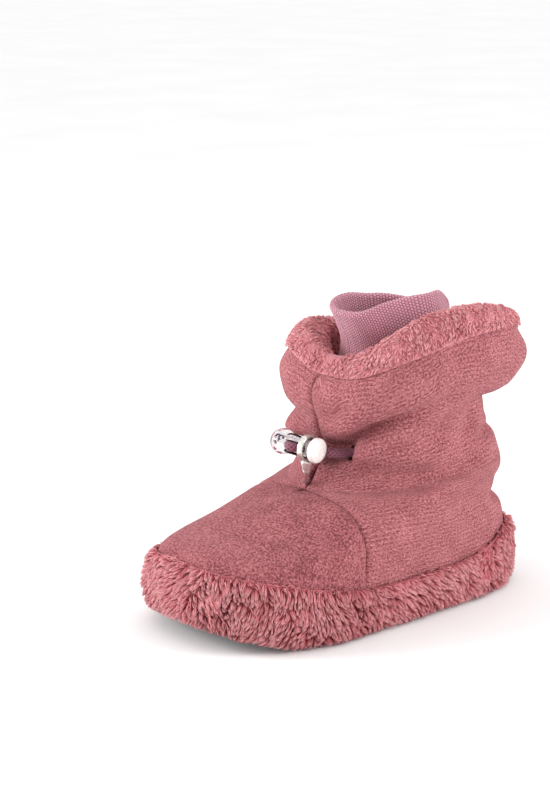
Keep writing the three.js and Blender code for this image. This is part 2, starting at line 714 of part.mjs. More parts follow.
STARS.forEach((star, i) => {
  const y = star.toe - HALF_LENGTH;
  const grip = add(`star_grip_${String(i + 1).padStart(2, "0")}`, starGrip(star), "rubber");
  const slope = (toeSpring(y + 1) - toeSpring(y - 1)) / 2;
  grip.position.set(-star.side, y, toeSpring(y));
  grip.rotation.x = Math.atan(slope);
});
HEEL_GRIP.rings.forEach((ring, i) => {
  add(`heel_grip_ring_${i + 1}`, ringGrip(ring), "rubber").position.set(0, HEEL_GRIP.y, 0);
});
const heelDisc = new THREE.CylinderGeometry(HEEL_GRIP.disc, HEEL_GRIP.disc, GRIP_HEIGHT, 20);
heelDisc.rotateX(Math.PI / 2).translate(0, HEEL_GRIP.y, GRIP_HEIGHT / 2);
add("heel_grip_disc", heelDisc, "rubber");

export default bootie;
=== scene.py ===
"""Looks of the baby bootie: fleece, plush, knit, cord lock and sole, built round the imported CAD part.

Lengths are in millimetres until a mesh is made, and +X is the outer side, -Y the toe and +Z up.
"""

import math

import bpy
import numpy as np
from mathutils import Matrix, Vector, kdtree


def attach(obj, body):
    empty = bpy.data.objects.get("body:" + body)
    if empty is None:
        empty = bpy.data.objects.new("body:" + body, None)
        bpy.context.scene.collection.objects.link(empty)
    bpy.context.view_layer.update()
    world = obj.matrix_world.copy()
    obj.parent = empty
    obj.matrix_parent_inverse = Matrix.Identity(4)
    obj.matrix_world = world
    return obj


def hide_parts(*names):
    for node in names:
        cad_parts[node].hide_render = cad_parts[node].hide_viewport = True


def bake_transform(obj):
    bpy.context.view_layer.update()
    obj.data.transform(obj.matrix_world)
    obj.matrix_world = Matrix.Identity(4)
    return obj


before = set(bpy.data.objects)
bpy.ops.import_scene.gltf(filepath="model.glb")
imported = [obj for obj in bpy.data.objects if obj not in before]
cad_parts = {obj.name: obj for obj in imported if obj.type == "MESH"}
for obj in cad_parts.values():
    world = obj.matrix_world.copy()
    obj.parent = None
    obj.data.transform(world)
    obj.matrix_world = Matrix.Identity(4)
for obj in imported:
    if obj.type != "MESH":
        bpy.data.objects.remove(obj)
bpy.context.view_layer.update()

MM = 0.001

# ---- Camera -------------------------------------------------------------------------------------

AZIMUTH, ELEVATION = math.radians(51.3), math.radians(12.75)
TOWARDS_CAMERA = Vector(
    (
        math.sin(AZIMUTH) * math.cos(ELEVATION),
        -math.cos(AZIMUTH) * math.cos(ELEVATION),
        math.sin(ELEVATION),
    )
)
camera = bpy.data.objects.new("camera", bpy.data.cameras.new("camera"))
bpy.context.scene.collection.objects.link(camera)
bpy.context.scene.camera = camera
camera.location = (0.5619, -0.4775, 0.2361)
camera.rotation_mode = "QUATERNION"
camera.rotation_quaternion = (-TOWARDS_CAMERA).to_track_quat("-Z", "Y")
camera.data.sensor_width = 36
camera.data.lens = 105.05
camera.data.clip_start, camera.data.clip_end = 0.05, 20

# ---- Small tools ----------------------------------------------------------------------------------


def smoothstep(x, low, high):
    t = np.clip((np.asarray(x, float) - low) / (high - low), 0, 1)
    return t * t * (3 - 2 * t)


def bump(distance, reach):
    return np.exp(-((np.asarray(distance, float) / reach) ** 2))


def unit(v):
    return v / np.maximum(np.linalg.norm(v, axis=-1, keepdims=True), 1e-9)


def signed_power(value, power):
    return np.sign(value) * np.abs(value) ** power


def along_list(values, place):
    """Smooth curve through the numbers of a list, read at fractional places in it."""
    values = np.asarray(values, float)
    place = np.asarray(place, float)
    i = np.clip(np.floor(place).astype(int), 0, len(values) - 2)
    t = place - i
    a, b, c, d = (values[np.clip(i + k, 0, len(values) - 1)] for k in (-1, 0, 1, 2))
    if values.ndim > 1:
        t = t[..., None]
    slope_in, slope_out = (c - a) / 2, (d - b) / 2
    bend = 3 * (c - b) - 2 * slope_in - slope_out
    twist = 2 * (b - c) + slope_in + slope_out
    return b + t * (slope_in + t * (bend + t * twist))


def mesh_object(name, points, faces, material, body="bootie", smooth=True):
    """A mesh from points in mm and faces that all have the same number of corners."""
    faces = np.asarray(faces, np.int32)
    count, corners = faces.shape
    mesh = bpy.data.meshes.new(name)
    mesh.vertices.add(len(points))
    mesh.vertices.foreach_set("co", (np.asarray(points, float) * MM).astype(np.float32).ravel())
    mesh.loops.add(count * corners)
    mesh.loops.foreach_set("vertex_index", faces.ravel())
    mesh.polygons.add(count)
    mesh.polygons.foreach_set("loop_start", np.arange(0, count * corners, corners, dtype=np.int32))
    mesh.update(calc_edges=True)
    mesh.validate()
    mesh.polygons.foreach_set("use_smooth", np.full(count, smooth))
    mesh.materials.append(material)
    piece = bpy.data.objects.new(name, mesh)
    bpy.context.scene.collection.objects.link(piece)
    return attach(piece, body) if body else piece


def attribute(piece, name, values):
    values = np.asarray(values, np.float32)
    kind = "FLOAT" if values.ndim == 1 else "FLOAT_VECTOR"
    made = piece.data.attributes.new(name, kind, "POINT")
    made.data.foreach_set("value" if kind == "FLOAT" else "vector", values.ravel())


def grid_faces(rows, columns, start=0, closed=False, loop=False):
    i, j = np.meshgrid(
        np.arange(rows if loop else rows - 1),
        np.arange(columns if closed else columns - 1),
        indexing="ij",
    )
    at = lambda a, b: start + (a % rows) * columns + b % columns
    return np.stack([at(i, j), at(i, j + 1), at(i + 1, j + 1), at(i + 1, j)], -1).reshape(-1, 4)


def sheet_mesh(upper, lower):
    """Points and quads of the closed sheet between two grids of points."""
    rows, columns = upper.shape[:2]
    under = rows * columns
    top = grid_faces(rows, columns)
    bottom = grid_faces(rows, columns, under)[:, ::-1]
    rim = np.concatenate(
        [
            np.arange(columns),
            np.arange(1, rows) * columns + columns - 1,
            (rows - 1) * columns + np.arange(columns - 2, -1, -1),
            np.arange(rows - 2, 0, -1) * columns,
        ]
    )
    after = np.roll(rim, -1)
    walls = np.stack([after, rim, rim + under, after + under], -1)
    points = np.concatenate([upper.reshape(-1, 3), lower.reshape(-1, 3)])
    return points, np.concatenate([top, bottom, walls])


def loop_mesh(rings):
    """Points and quads of a closed loop of closed rings."""
    rows, columns = rings.shape[:2]
    return rings.reshape(-1, 3), grid_faces(rows, columns, closed=True, loop=True)


def smooth_ring(ring, steps):
    """A closed ring of more points, on a smooth curve through the ring's own."""
    count = len(ring)
    padded = np.concatenate([ring[-1:], ring, ring[:3]])
    place = np.arange(steps) * count / steps + 1
    return along_list(padded, place)


def value_noise(points, size, seed):
    """Smooth noise from -1 to 1 at points in mm."""
    rng = np.random.default_rng(seed)
    table = rng.uniform(-1, 1, (32, 32, 32))
    q = np.asarray(points, float) / size
    i = np.floor(q).astype(int)
    t = q - i
    t = t * t * (3 - 2 * t)
    total = 0
    for a in (0, 1):
        for b in (0, 1):
            for c in (0, 1):
                weight = (
                    (t[..., 0] if a else 1 - t[..., 0])
                    * (t[..., 1] if b else 1 - t[..., 1])
                    * (t[..., 2] if c else 1 - t[..., 2])
                )
                total = total + weight * table[
                    (i[..., 0] + a) % 32, (i[..., 1] + b) % 32, (i[..., 2] + c) % 32
                ]
    return total


# ---- Materials ------------------------------------------------------------------------------------


def colour(red, green, blue):
    """A linear colour from 0-255 display values."""
    linear = [
        c / 12.92 if c <= 0.04045 else ((c + 0.055) / 1.055) ** 2.4
        for c in (red / 255, green / 255, blue / 255)
    ]
    return (*linear, 1)


class Paint:
    """A material and short calls for its nodes."""

    def __init__(self, name, **shader):
        self.material = bpy.data.materials.new(name)
        self.material.use_nodes = True
        self.tree = self.material.node_tree
        self.shader = self.tree.nodes["Principled BSDF"]
        for socket, value in shader.items():
            self.shader.inputs[socket.replace("_", " ")].default_value = value

    def node(self, kind, inputs=(), **settings):
        made = self.tree.nodes.new("ShaderNode" + kind)
        for key, value in settings.items():
            setattr(made, key, value)
        for key, value in dict(inputs).items():
            socket = made.inputs[key]
            if isinstance(value, bpy.types.NodeSocket):
                self.tree.links.new(value, socket)
            else:
                socket.default_value = value
        return made

    def link(self, source, socket):
        self.tree.links.new(source, self.shader.inputs[socket])

    def place(self, name=None, scale=(1, 1, 1), turn=0):
        """Coordinates in mm: an attribute's, or the object's own."""
        if name:
            source = self.node("Attribute", attribute_name=name).outputs["Vector"]
            factor = 1
        else:
            source = self.node("TexCoord").outputs["Object"]
            factor = 1 / MM
        return self.node(
            "Mapping",
            {
                "Vector": source,
                "Rotation": (0, 0, turn),
                "Scale": tuple(s * factor for s in scale),
            },
        ).outputs["Vector"]

    def noise(self, vector, scale, detail=2, roughness=0.5, distortion=0):
        return self.node(
            "TexNoise",
            {
                "Vector": vector,
                "Scale": scale,
                "Detail": detail,
                "Roughness": roughness,
                "Distortion": distortion,
            },
        ).outputs["Fac"]

    def math(self, operation, a, b=0.0, c=0.0):
        made = self.node("Math", operation=operation)
        for socket, value in zip(made.inputs, (a, b, c)):
            if isinstance(value, bpy.types.NodeSocket):
                self.tree.links.new(value, socket)
            else:
                socket.default_value = value
        return made.outputs[0]

    def spread(self, value, low, high, to_low=0.0, to_high=1.0):
        return self.node(
            "MapRange",
            {"Value": value, "From Min": low, "From Max": high, "To Min": to_low, "To Max": to_high},
        ).outputs["Result"]

    def ramp(self, value, *stops):
        made = self.node("ValToRGB", {"Fac": value})
        elements = made.color_ramp.elements
        while len(elements) < len(stops):
            elements.new(0.5)
        for element, (position, shade) in zip(elements, stops):
            element.position = position
            element.color = shade
        return made.outputs["Color"]

    def bump(self, height, distance, strength=1.0):
        made = self.node("Bump", {"Height": height, "Strength": strength, "Distance": distance * MM})
        self.link(made.outputs["Normal"], "Normal")


def fleece_material(name, rows, grain, *shades):
    """Short brushed pile: small curled grains, in rows along the cloth, with painted shade in the gaps between them.
    """
    p = Paint(name, Roughness=0.95, Sheen_Weight=0.15, Sheen_Roughness=0.4)
    p.shader.inputs["Sheen Tint"].default_value = colour(236, 178, 178)
    cloth = p.place("cloth")
    warp = p.noise(cloth, 0.12, 2)
    grains = p.noise(p.place("cloth", grain), 1.5, 2, 0.55, 0.35)
    lines = p.node(
        "TexWave",
        {"Vector": cloth, "Scale": 0.2, "Distortion": 1.6, "Detail": 2.0, "Detail Scale": 2.5},
        wave_type="BANDS",
        bands_direction="Y",
    ).outputs["Fac"]
    height = p.math("MULTIPLY_ADD", lines, rows, grains)
    tone = p.math("MULTIPLY_ADD", p.math("SUBTRACT", warp, 0.5), 0.2, height)
    # Painted shade: the colour is dark where the grains and rows lie low and light where they stand high.
    places = (0.38 + rows / 3, 0.52 + rows / 2, 0.70 + rows / 2)
    shade = p.ramp(tone, *[(place, colour(*shade)) for place, shade in zip(places, shades)])
    p.link(shade, "Base Color")
    p.bump(height, 0.6, 0.8)
    return p.material


def plain_cloth(name, dark, light, grain=1.2, depth=0.25, **shader):
    p = Paint(name, Roughness=0.95, Sheen_Weight=0.3, **shader)
    grains = p.noise(p.place(), grain, 3, 0.6)
    p.link(p.ramp(grains, (0.35, dark), (0.65, light)), "Base Color")
    p.bump(grains, depth)
    return p.material


def pile_material():
    """Long pile: each strand is painted dark at its root, as shade among the crowded strands, and light at its tip,
    and no two are quite alike.
    """
    p = Paint("pile", Roughness=0.8, Sheen_Weight=0.12, Sheen_Roughness=0.4)
    p.shader.inputs["Sheen Tint"].default_value = colour(240, 190, 190)
    tip = p.node("Attribute", attribute_name="tip").outputs["Fac"]
    own = p.node("Attribute", attribute_name="own").outputs["Fac"]
    patch = p.noise(p.place(), 0.12, 2)
    tone = p.math("ADD", p.math("MULTIPLY_ADD", own, 0.3, tip), p.spread(patch, 0.3, 0.7, -0.18, 0.18))
    # Painted shade: the ramp runs from dark at the strands' roots to light at their tips.
    shade = p.ramp(
        tone,
        (0.0, colour(146, 50, 60)),
        (0.4, colour(204, 108, 115)),
        (1.0, colour(232, 164, 168)),
    )
    p.link(shade, "Base Color")
    return p.material


def knit_material():
    """Fine knit: small round loops, set half a stitch apart from one column to the next."""
    p = Paint("knit", Roughness=0.85, Sheen_Weight=0.35, Sheen_Roughness=0.5)
    cloth = p.place("cloth")
    split = p.node("SeparateXYZ", {"Vector": cloth})
    across, up = split.outputs["X"], split.outputs["Y"]
    shift = p.math("MULTIPLY_ADD", p.math("MODULO", p.math("FLOOR", across), 2.0), 0.5, up)
    loop = p.math("ABSOLUTE", p.math("SINE", p.math("MULTIPLY", shift, math.pi)))
    wale = p.math("ABSOLUTE", p.math("SINE", p.math("MULTIPLY", across, math.pi)))
    height = p.math("MULTIPLY", p.math("POWER", loop, 0.5), p.math("POWER", wale, 0.45))
    fuzz = p.noise(cloth, 3.5, 2)
    tone = p.math("MULTIPLY_ADD", fuzz, 0.35, p.math("MULTIPLY", height, 0.8))
    # The loops' pattern with painted shade: the colour is dark between the loops and light on their tops.
    shade = p.ramp(
        tone,
        (0.12, colour(84, 30, 50)),
        (0.5, colour(176, 106, 125)),
        (0.95, colour(220, 158, 172)),
    )
    p.link(shade, "Base Color")
    p.bump(height, 0.25)
    return p.material


def cord_material():
    p = Paint("cord", Roughness=0.7, Sheen_Weight=0.2)
    cloth = p.place("cloth")
    split = p.node("SeparateXYZ", {"Vector": cloth})
    one = p.math("SINE", p.math("MULTIPLY_ADD", split.outputs["X"], 7.0, p.math("MULTIPLY", split.outputs["Y"], 1.5)))
    two = p.math("SINE", p.math("MULTIPLY_ADD", split.outputs["X"], -7.0, p.math("MULTIPLY", split.outputs["Y"], 1.5)))
    braid = p.math("MAXIMUM", one, two)
    # The braid's pattern with painted shade: the colour is dark in the grooves between its strands.
    p.link(p.ramp(braid, (0.1, colour(92, 38, 58)), (1.0, colour(152, 84, 106))), "Base Color")
    p.bump(braid, 0.12)
    return p.material


def twill_material():
    """Black woven cloth with diagonal ribs."""
    p = Paint("twill", Roughness=0.8, Sheen_Weight=0.15)
    ribs = p.node(
        "TexWave", {"Vector": p.place(turn=0.9), "Scale": 0.45, "Distortion": 0.4}, wave_type="BANDS"
    ).outputs["Fac"]
    threads = p.noise(p.place(scale=(1, 4, 1), turn=-0.7), 1.5, 2)
    height = p.math("MULTIPLY_ADD", threads, 0.5, ribs)
    # The weave's pattern with painted shade: the colour is dark in the grooves between the ribs and threads.
    p.link(p.ramp(height, (0.3, colour(12, 12, 14)), (1.0, colour(46, 45, 50))), "Base Color")
    p.bump(height, 0.2)
    return p.material


def rubber_material():
    p = Paint("rubber", Specular_IOR_Level=0.6)
    haze = p.noise(p.place(), 0.6, 3)
    p.link(p.ramp(haze, (0.3, colour(14, 14, 17)), (0.8, colour(34, 34, 38))), "Base Color")
    p.link(p.spread(haze, 0.3, 0.7, 0.18, 0.38), "Roughness")
    p.bump(p.noise(p.place(), 2.5, 3), 0.03)
    return p.material


def clear_material():
    p = Paint("clear_plastic", Transmission_Weight=1.0, IOR=1.2, Coat_Weight=0.5)
    haze = p.noise(p.place(), 0.5, 3)
    p.link(p.ramp(haze, (0.3, colour(240, 232, 236)), (0.8, colour(252, 248, 250))), "Base Color")
    p.link(p.spread(haze, 0.3, 0.8, 0.01, 0.05), "Roughness")
    return p.material


def chrome_material():
    p = Paint("chrome", Metallic=0.75)
    haze = p.noise(p.place(), 0.9, 4)
    p.link(p.ramp(haze, (0.3, colour(214, 210, 204)), (0.8, colour(246, 244, 240))), "Base Color")
    p.link(p.spread(haze, 0.3, 0.75, 0.1, 0.24), "Roughness")
    return p.material


def pearl_material():
    p = Paint("pearl", Coat_Weight=0.6, Coat_Roughness=0.08, Sheen_Weight=0.1)
    swirl = p.noise(p.place(), 0.35, 4, 0.6, 1.5)
    p.link(
        p.ramp(swirl, (0.3, colour(236, 226, 222)), (0.6, colour(252, 248, 246)), (0.8, colour(244, 238, 240))),
        "Base Color",
    )
    p.link(p.spread(swirl, 0.3, 0.7, 0.2, 0.34), "Roughness")
    return p.material


def steel_material():
    p = Paint("spring_steel", Metallic=1.0)
    drawn = p.noise(p.place(scale=(4, 1, 1)), 2.0, 2)
    p.link(p.ramp(drawn, (0.3, colour(70, 66, 70)), (0.7, colour(140, 136, 138))), "Base Color")
    p.link(p.spread(drawn, 0.3, 0.7, 0.2, 0.4), "Roughness")
    return p.material


FLEECE = fleece_material("fleece", 0.07, (0.9, 1.2, 1), (120, 56, 63), (168, 97, 102), (200, 131, 135))
# The vamp's fleece: the quarters' cloth without rows, its colours painted darker as shade on the vamp.
SHADED_VAMP_FLEECE = fleece_material("vamp_fleece_painted_shade", 0.0, (1, 1, 1), (112, 50, 57), (158, 86, 92), (188, 117, 122))
PILE = pile_material()
BACKING = plain_cloth("plush_backing", colour(140, 54, 64), colour(186, 96, 104), 0.9, 0.4)
COLLAR_BACKING = plain_cloth("collar_backing", colour(158, 84, 91), colour(204, 128, 133), 0.9, 0.4)
LINING_CLOTH = plain_cloth("lining", colour(170, 112, 116), colour(205, 148, 150), 1.0, 0.3)
KNIT = knit_material()
CORD_CLOTH = cord_material()
TAPE = plain_cloth("tape", colour(112, 50, 57), colour(170, 98, 104), 3.0, 0.15)
THREAD = plain_cloth("thread", colour(150, 84, 90), colour(196, 128, 132), 4.0, 0.05)
FOAM = plain_cloth("foam", colour(214, 206, 196), colour(238, 232, 224), 2.5, 0.2)
TWILL = twill_material()
RUBBER = rubber_material()
CLEAR = clear_material()
CHROME = chrome_material()
PEARL = pearl_material()
STEEL = steel_material()

# ---- The CAD part's dimensions ------------------------------------------------------------------------

HALF_LENGTH, HALF_WIDTH, FRONT_RADIUS, HEEL_TAPER = 64.0, 30.9, 33.0, 0.31
WIDEST_Y = FRONT_RADIUS - HALF_LENGTH
SPRING_START, SPRING_END, SPRING_RISE = -22.0, -70.0, 9.0
VAMP_Y = -15.5
RIM, CINCH, VAMP_TOP = 12, 8, 6
LINING_DEPTH, LINING_THICKNESS, FLEECE_THICKNESS = 2.3, 1.4, 2.0
CORD_DIAMETER, CORD_DEPTH = 3.0, 3.95

# Front point (y, z), back point (y, z), half-width, share of the sole's plan, squareness, lift of the
# outer side and dip at the front seam, from the sole edge to the rim.
SECTIONS = np.array(
    [
        (-63, 3.4, 63, 3.4, 30, 1, 2.2, 0, 0),
        (-65.5, 11, 65, 12, 32.5, 1, 2.2, 0, 0),
        (-63.5, 19, 64, 22, 33.5, 0.85, 2.1, 0, 0),
        (-56, 26, 62.5, 30, 33.5, 0.6, 1.9, 0, 0),
        (-42, 33, 61.5, 36.5, 32, 0.35, 1.75, 0, 0),
        (-28, 38.5, 61.2, 42, 31.5, 0.15, 1.75, 0, 0),
        (-16, 41.5, 61.2, 47, 30.5, 0, 1.9, 0, 0),
        (-11.5, 46.5, 59.5, 52, 29.5, 0, 2.1, 0, 0),
        (-8, 53, 55.5, 58, 28, 0, 2.3, 0, 0),
        (-10, 62, 52, 64, 29.5, 0, 2.4, 1, 0),
        (-11.5, 70, 61, 70.5, 33.5, 0, 2.5, 3.5, 0),
        (-9.5, 79, 64, 78, 33.5, 0, 2.5, 9, 1.2),
        (-4, 87.5, 61.5, 85, 31, 0, 2.4, 13, 3),
    ],
    float,
)

# The rim's droop at its near front and its rise at its far front.
SLOUCH, PERK = 5.5, 2.6

LOCK_CENTRE = np.array([0, -17.4, 55.7])
LOCK_TURN = Matrix.Rotation(math.radians(11.5), 3, "Z") @ Matrix.Rotation(math.radians(4), 3, "Y")
LOCK_AXES = np.array(LOCK_TURN)


def lock_place(points):
    """Points from the lock's own frame, whose X runs along its barrel, to the bootie's."""
    return np.asarray(points, float) @ LOCK_AXES.T + LOCK_CENTRE


def sole_half_width(y):
    t = np.clip((WIDEST_Y - y) / FRONT_RADIUS, 0, 1)
    front = HALF_WIDTH * (1 - t**2.5) ** (1 / 2.5)
    s = np.clip((y - WIDEST_Y) / (HALF_LENGTH - WIDEST_Y), 0, 1)
    back = HALF_WIDTH * (1 - HEEL_TAPER * s**1.1) * (1 - s**8) ** (1 / 3)
    return np.where(y < WIDEST_Y, front, back)


def toe_spring(y):
    t = np.maximum(0, (SPRING_START - y) / (SPRING_START - SPRING_END))
    return SPRING_RISE * t * t


def sole_point(angle):
    y = -HALF_LENGTH * np.cos(angle)
    return np.sign(np.sin(angle)) * sole_half_width(y), y


def sole_normal(angle):
    x1, y1 = sole_point(angle + 0.02)
    x0, y0 = sole_point(angle - 0.02)
    return unit(np.stack([y1 - y0, x0 - x1], -1))


def upper_point(level, angle):
    """The upper's outer surface before folds: level counts sections, angle goes round from the front."""
    level, angle = np.broadcast_arrays(np.asarray(level, float), np.asarray(angle, float))
    front_y, front_z, back_y, back_z, half, foot, square, lift, dip = (
        along_list(column, level) for column in SECTIONS.T
    )
    power = 2 / square
    foot = np.clip(foot, 0, 1)
    sole_x, sole_y = sole_point(angle)
    across = (1 - foot) * signed_power(np.sin(angle), power) + foot * sole_x / HALF_WIDTH
    along = -(1 - foot) * signed_power(np.cos(angle), power) + foot * sole_y / HALF_LENGTH
    y = (front_y + back_y) / 2 + along * (back_y - front_y) / 2
    rise = toe_spring(y) * (1 - smoothstep(level, 2, 5))
    lift = lift * smoothstep(across, -0.2, 1) * (1 - 0.4 * along**2)
    dip = dip * bump(across, 0.4) * smoothstep(-along, 0, 1)
    dip = dip + SLOUCH * np.exp(-(1 - np.cos(angle - 0.4)) / 0.11) * smoothstep(level, 9.5, RIM)
    dip = dip - PERK * np.exp(-(1 - np.cos(angle + 0.85)) / 0.25) * smoothstep(level, 10.3, RIM)
    z = front_z + (back_z - front_z) * (1 + along) / 2 + rise + lift - dip
    return np.stack([across * half, y, z], -1)


def upper_normal(level, angle):
    step = 0.02
    low = np.clip(level - step, 0, RIM - step)
    up = upper_point(low + step, angle) - upper_point(low, angle)
    around = upper_point(level, angle + step) - upper_point(level, angle - step)
    return unit(np.cross(around, up))


# Folds of the fleece: points along each with its height there (below zero is a valley), and its width.
FOLDS = [
    ([(4, -7.6, 52.5, -3.4), (10.5, -6.7, 54.5, -5.0), (13.3, -6.2, 58, -5.6), (19.7, -4.3, 62.6, -5.4),
      (25.9, 0.9, 66.4, -4.2), (30, 7.8, 69.4, -2.6), (32, 14.6, 72.3, -1.2), (32.6, 20.5, 74, 0)], 2.2),
    ([(8, -8, 60, 1.6), (14, -6, 63.5, 3.0), (20, -4.3, 68, 3.2), (27, 1, 71.5, 2.6), (31, 8, 74.5, 1.4),
      (32.6, 18, 77, 0)], 4.2),
    ([(15.5, -5, 53.5, 2.2), (21, -1, 57, 2.2), (27, 6, 61, 1.6), (30, 14, 65, 0.8)], 3.4),
    ([(11.7, -7.8, 48.6, -1.8), (21.3, -1.2, 47.5, -3.2), (27.6, 10.4, 46.6, -3.6), (29.8, 26, 47.2, -3.0),
      (27, 38.4, 50.7, -1.4)], 2.8),
    ([(15, -6, 52.5, 0.8), (22, -1, 52.5, 2.0), (27, 10, 52.5, 2.4), (28.5, 24, 54, 2.0)], 3.6),
    ([(14.7, -10.3, 42.4, -0.7), (22.5, -2.2, 43, -1.1), (28.7, 9.5, 42.8, -1.1), (30.1, 25.8, 42.1, 0)], 1.3),
    ([(14.7, -10.3, 39.6, -0.5), (22.5, -2.2, 40.2, -0.8), (28.7, 9.5, 40, -0.5), (30.1, 20, 39.5, 0)], 1.2),
    ([(32.7, 31, 76, 0), (30.5, 32.1, 66, -1.8), (28, 31.5, 56, -1.4), (29.3, 27.2, 49, 0)], 3.6),
    ([(31, 30, 67, 0), (29, 37, 67.6, -2.6), (24, 46, 67.6, -5.6), (12, 52, 67, -5.8), (0, 53, 66, -4.6),
      (-14, 51, 64, -3.0), (-26, 42, 64, -1.8), (-30, 28, 63, 0)], 2.8),
    ([(28, 33, 56, 0), (24, 44, 56, -2.8), (10, 53, 55.5, -3.4), (-8, 54, 55, -2.2), (-24, 44, 55, 0)], 2.2),
    ([(30, 30, 43, 0), (26, 44, 42.5, 2.4), (12, 58, 42.5, 3.0), (0, 61, 42.5, 2.4), (-16, 56, 43, 1.2),
      (-29, 36, 43, 0)], 5.0),
    ([(31, 32, 31.5, 0), (25, 47, 32, -1.4), (12, 59, 32, -2.2), (0, 62, 32, -2.0), (-18, 54, 32, -1.2),
      (-30, 34, 32, 0)], 2.4),
    ([(30, 44, 81, 0), (25, 54, 81, 2.0), (12, 62, 80, 2.4), (0, 63, 78, 2.4), (-18, 58, 78, 1.5),
      (-29, 46, 76, 0)], 5.5),
    ([(-10, -9, 57, 1.6), (-18, -6, 57.4, 4.8), (-25, 0, 57, 5.0), (-28, 10, 56.5, 2.5), (-29, 20, 56, 0)], 3.9),
    ([(-8, -9, 62.5, -0.8), (-17, -7, 63, -2.2), (-25, 0, 63, -2.4), (-29, 10, 62.5, -0.8)], 2.4),
    ([(-12, -10, 49.5, -0.8), (-20, -5, 49, -1.8), (-27, 6, 48.5, -2.0), (-29, 22, 48, -1.0)], 3.0),
    ([(-27, 10, 70, 0), (-31, 18, 66, -1.8), (-30, 30, 61, -1.6), (-28, 42, 58, 0)], 3.6),
    ([(2, -8, 53.5, -1.6), (7, -7.4, 55, -2.8), (9, -7, 58, -2.2)], 3.2),
    ([(-7, -8, 53.5, -1.6), (-11, -7, 53.5, -2.6)], 2.8),
    ([(-24, -6, 72, 0), (-27, -2, 75, 1.2), (-31, 8, 76, 0.6)], 6.0),
    ([(20, -6, 76, 0.8), (28, 2, 80, 1.6), (32, 14, 82, 1.4), (33, 30, 82, 1.6)], 4.5),
]


def fold_height(points):
    """How far the folds lift the fleece at each point."""
    flat = points.reshape(-1, 3)
    total = np.zeros(len(flat))
    for line, width in FOLDS:
        line = np.array(line, float)
        nearest = np.full(len(flat), 1e9)
        height = np.zeros(len(flat))
        for a, b in zip(line[:-1], line[1:]):
            d = b[:3] - a[:3]
            t = np.clip((flat - a[:3]) @ d / (d @ d), 0, 1)
            distance = np.linalg.norm(flat - a[:3] - t[:, None] * d, axis=1)
            closer = distance < nearest
            nearest = np.where(closer, distance, nearest)
            height = np.where(closer, a[3] + t * (b[3] - a[3]), height)
        total += height * bump(nearest, width)
    return total.reshape(points.shape[:-1])


def seam_dip(points, level):
    """The panels turn in where they are sewn together."""
    x, y = points[..., 0], points[..., 1]
    vamp = bump(y - VAMP_Y, 1.0) * (level < VAMP_TOP + 0.3) * smoothstep(level, 1.2, 2.2)
    shaft = bump(x, 0.9) * np.where(y > 20, 1, level > VAMP_TOP - 0.2)
    return -0.9 * np.maximum(vamp, shaft * np.where(y > 20, 1, 1 - 0.4 * smoothstep(level, 8.8, 9.8)))


def upper_at(level, angle, depth=0.0):
    """A point of the finished upper, at a depth under its outer face."""
    level, angle = np.broadcast_arrays(np.asarray(level, float), np.asarray(angle, float))
    base = upper_point(level, angle)
    lift = fold_height(base) * smoothstep(level, 1.5, 3) * (1 - smoothstep(level, 10.9, 11.7))
    soft = 0.35 * value_noise(base, 9, 5) * smoothstep(level, 1, 2.5)
    roll = 1.5 * bump(RIM - round_list(LEAF, angle) - 0.7 - level, 0.7)
    offset = lift + soft + roll + seam_dip(base, level)
    return base + upper_normal(level, angle) * (offset - depth)[..., None]


def round_list(values, angle):
    """Smooth values round the ankle, from one given every 30 degrees from the front by the outer side."""
    values = np.asarray(values, float)
    padded = np.concatenate([values[-1:], values, values[:3]])
    return along_list(padded, 1 + np.mod(angle, 2 * math.pi) * 6 / math.pi)


# How far below the rim the plush collar reaches, in levels.
LEAF = (0.78, 1.02, 0.96, 0.70, 0.52, 0.48, 0.5, 0.55, 0.65, 0.75, 0.85, 0.75)


def angle_at_y(level, y):
    near, far = np.zeros_like(level), np.full_like(level, math.pi * 0.75)
    for _ in range(30):
        middle = (near + far) / 2
        before = upper_point(level, middle)[..., 1] < y
        near, far = np.where(before, middle, near), np.where(before, far, middle)
    return near


def cloth_place(points):
    """Distance across and up a grid of points, for a weave that doesn't stretch with the grid."""
    rows, columns = points.shape[:2]
    across = np.linalg.norm(np.diff(points, axis=1), axis=2)
    across = np.concatenate([np.zeros((rows, 1)), np.cumsum(across, axis=1)], axis=1)
    across -= across[:, columns // 2 : columns // 2 + 1]
    up = np.linalg.norm(np.diff(points, axis=0), axis=2)
    up = np.concatenate([np.zeros((1, columns)), np.cumsum(up, axis=0)], axis=0)
    return np.stack([across, up, np.zeros_like(up)], -1)


def panel(name, level, angle, depth, thickness, material, plan=False):
    outer = upper_at(level, angle, depth)
    inner = upper_at(level, angle, depth + thickness)
    cloth = cloth_place(outer)
    if plan:
        cloth = outer * 1.0
    if np.cross(outer[1, 1] - outer[1, 0], outer[2, 1] - outer[1, 1]) @ upper_normal(level, angle)[1, 1] < 0:
        outer, inner = outer[:, ::-1], inner[:, ::-1]
        cloth = cloth[:, ::-1]
    points, faces = sheet_mesh(outer, inner)
    piece = mesh_object(name, points, faces, material)
    attribute(piece, "cloth", np.concatenate([cloth.reshape(-1, 3)] * 2))
    return piece


def lining_depth(level):
    channel = smoothstep(0.9 - np.abs(level - CINCH), 0, 0.45)
    return LINING_DEPTH + (CORD_DIAMETER + 0.5) * channel


# ---- Cord: one elastic loop round the ankle, through both buttonholes and the lock --------------------------

STRAND = (CORD_DIAMETER + 0.3) / 2
CORD_X = -0.7


def catmull(points, steps):
    """Points evenly along the smooth curve through these points."""
    points = np.asarray(points, float)
    fine = along_list(points, np.linspace(0, len(points) - 1, 40 * len(points)))
    reach = np.concatenate([[0], np.cumsum(np.linalg.norm(np.diff(fine, axis=0), axis=1))])
    even = np.linspace(0, reach[-1], steps)
    return np.stack([np.interp(even, reach, fine[:, k]) for k in range(3)], 1), reach[-1]


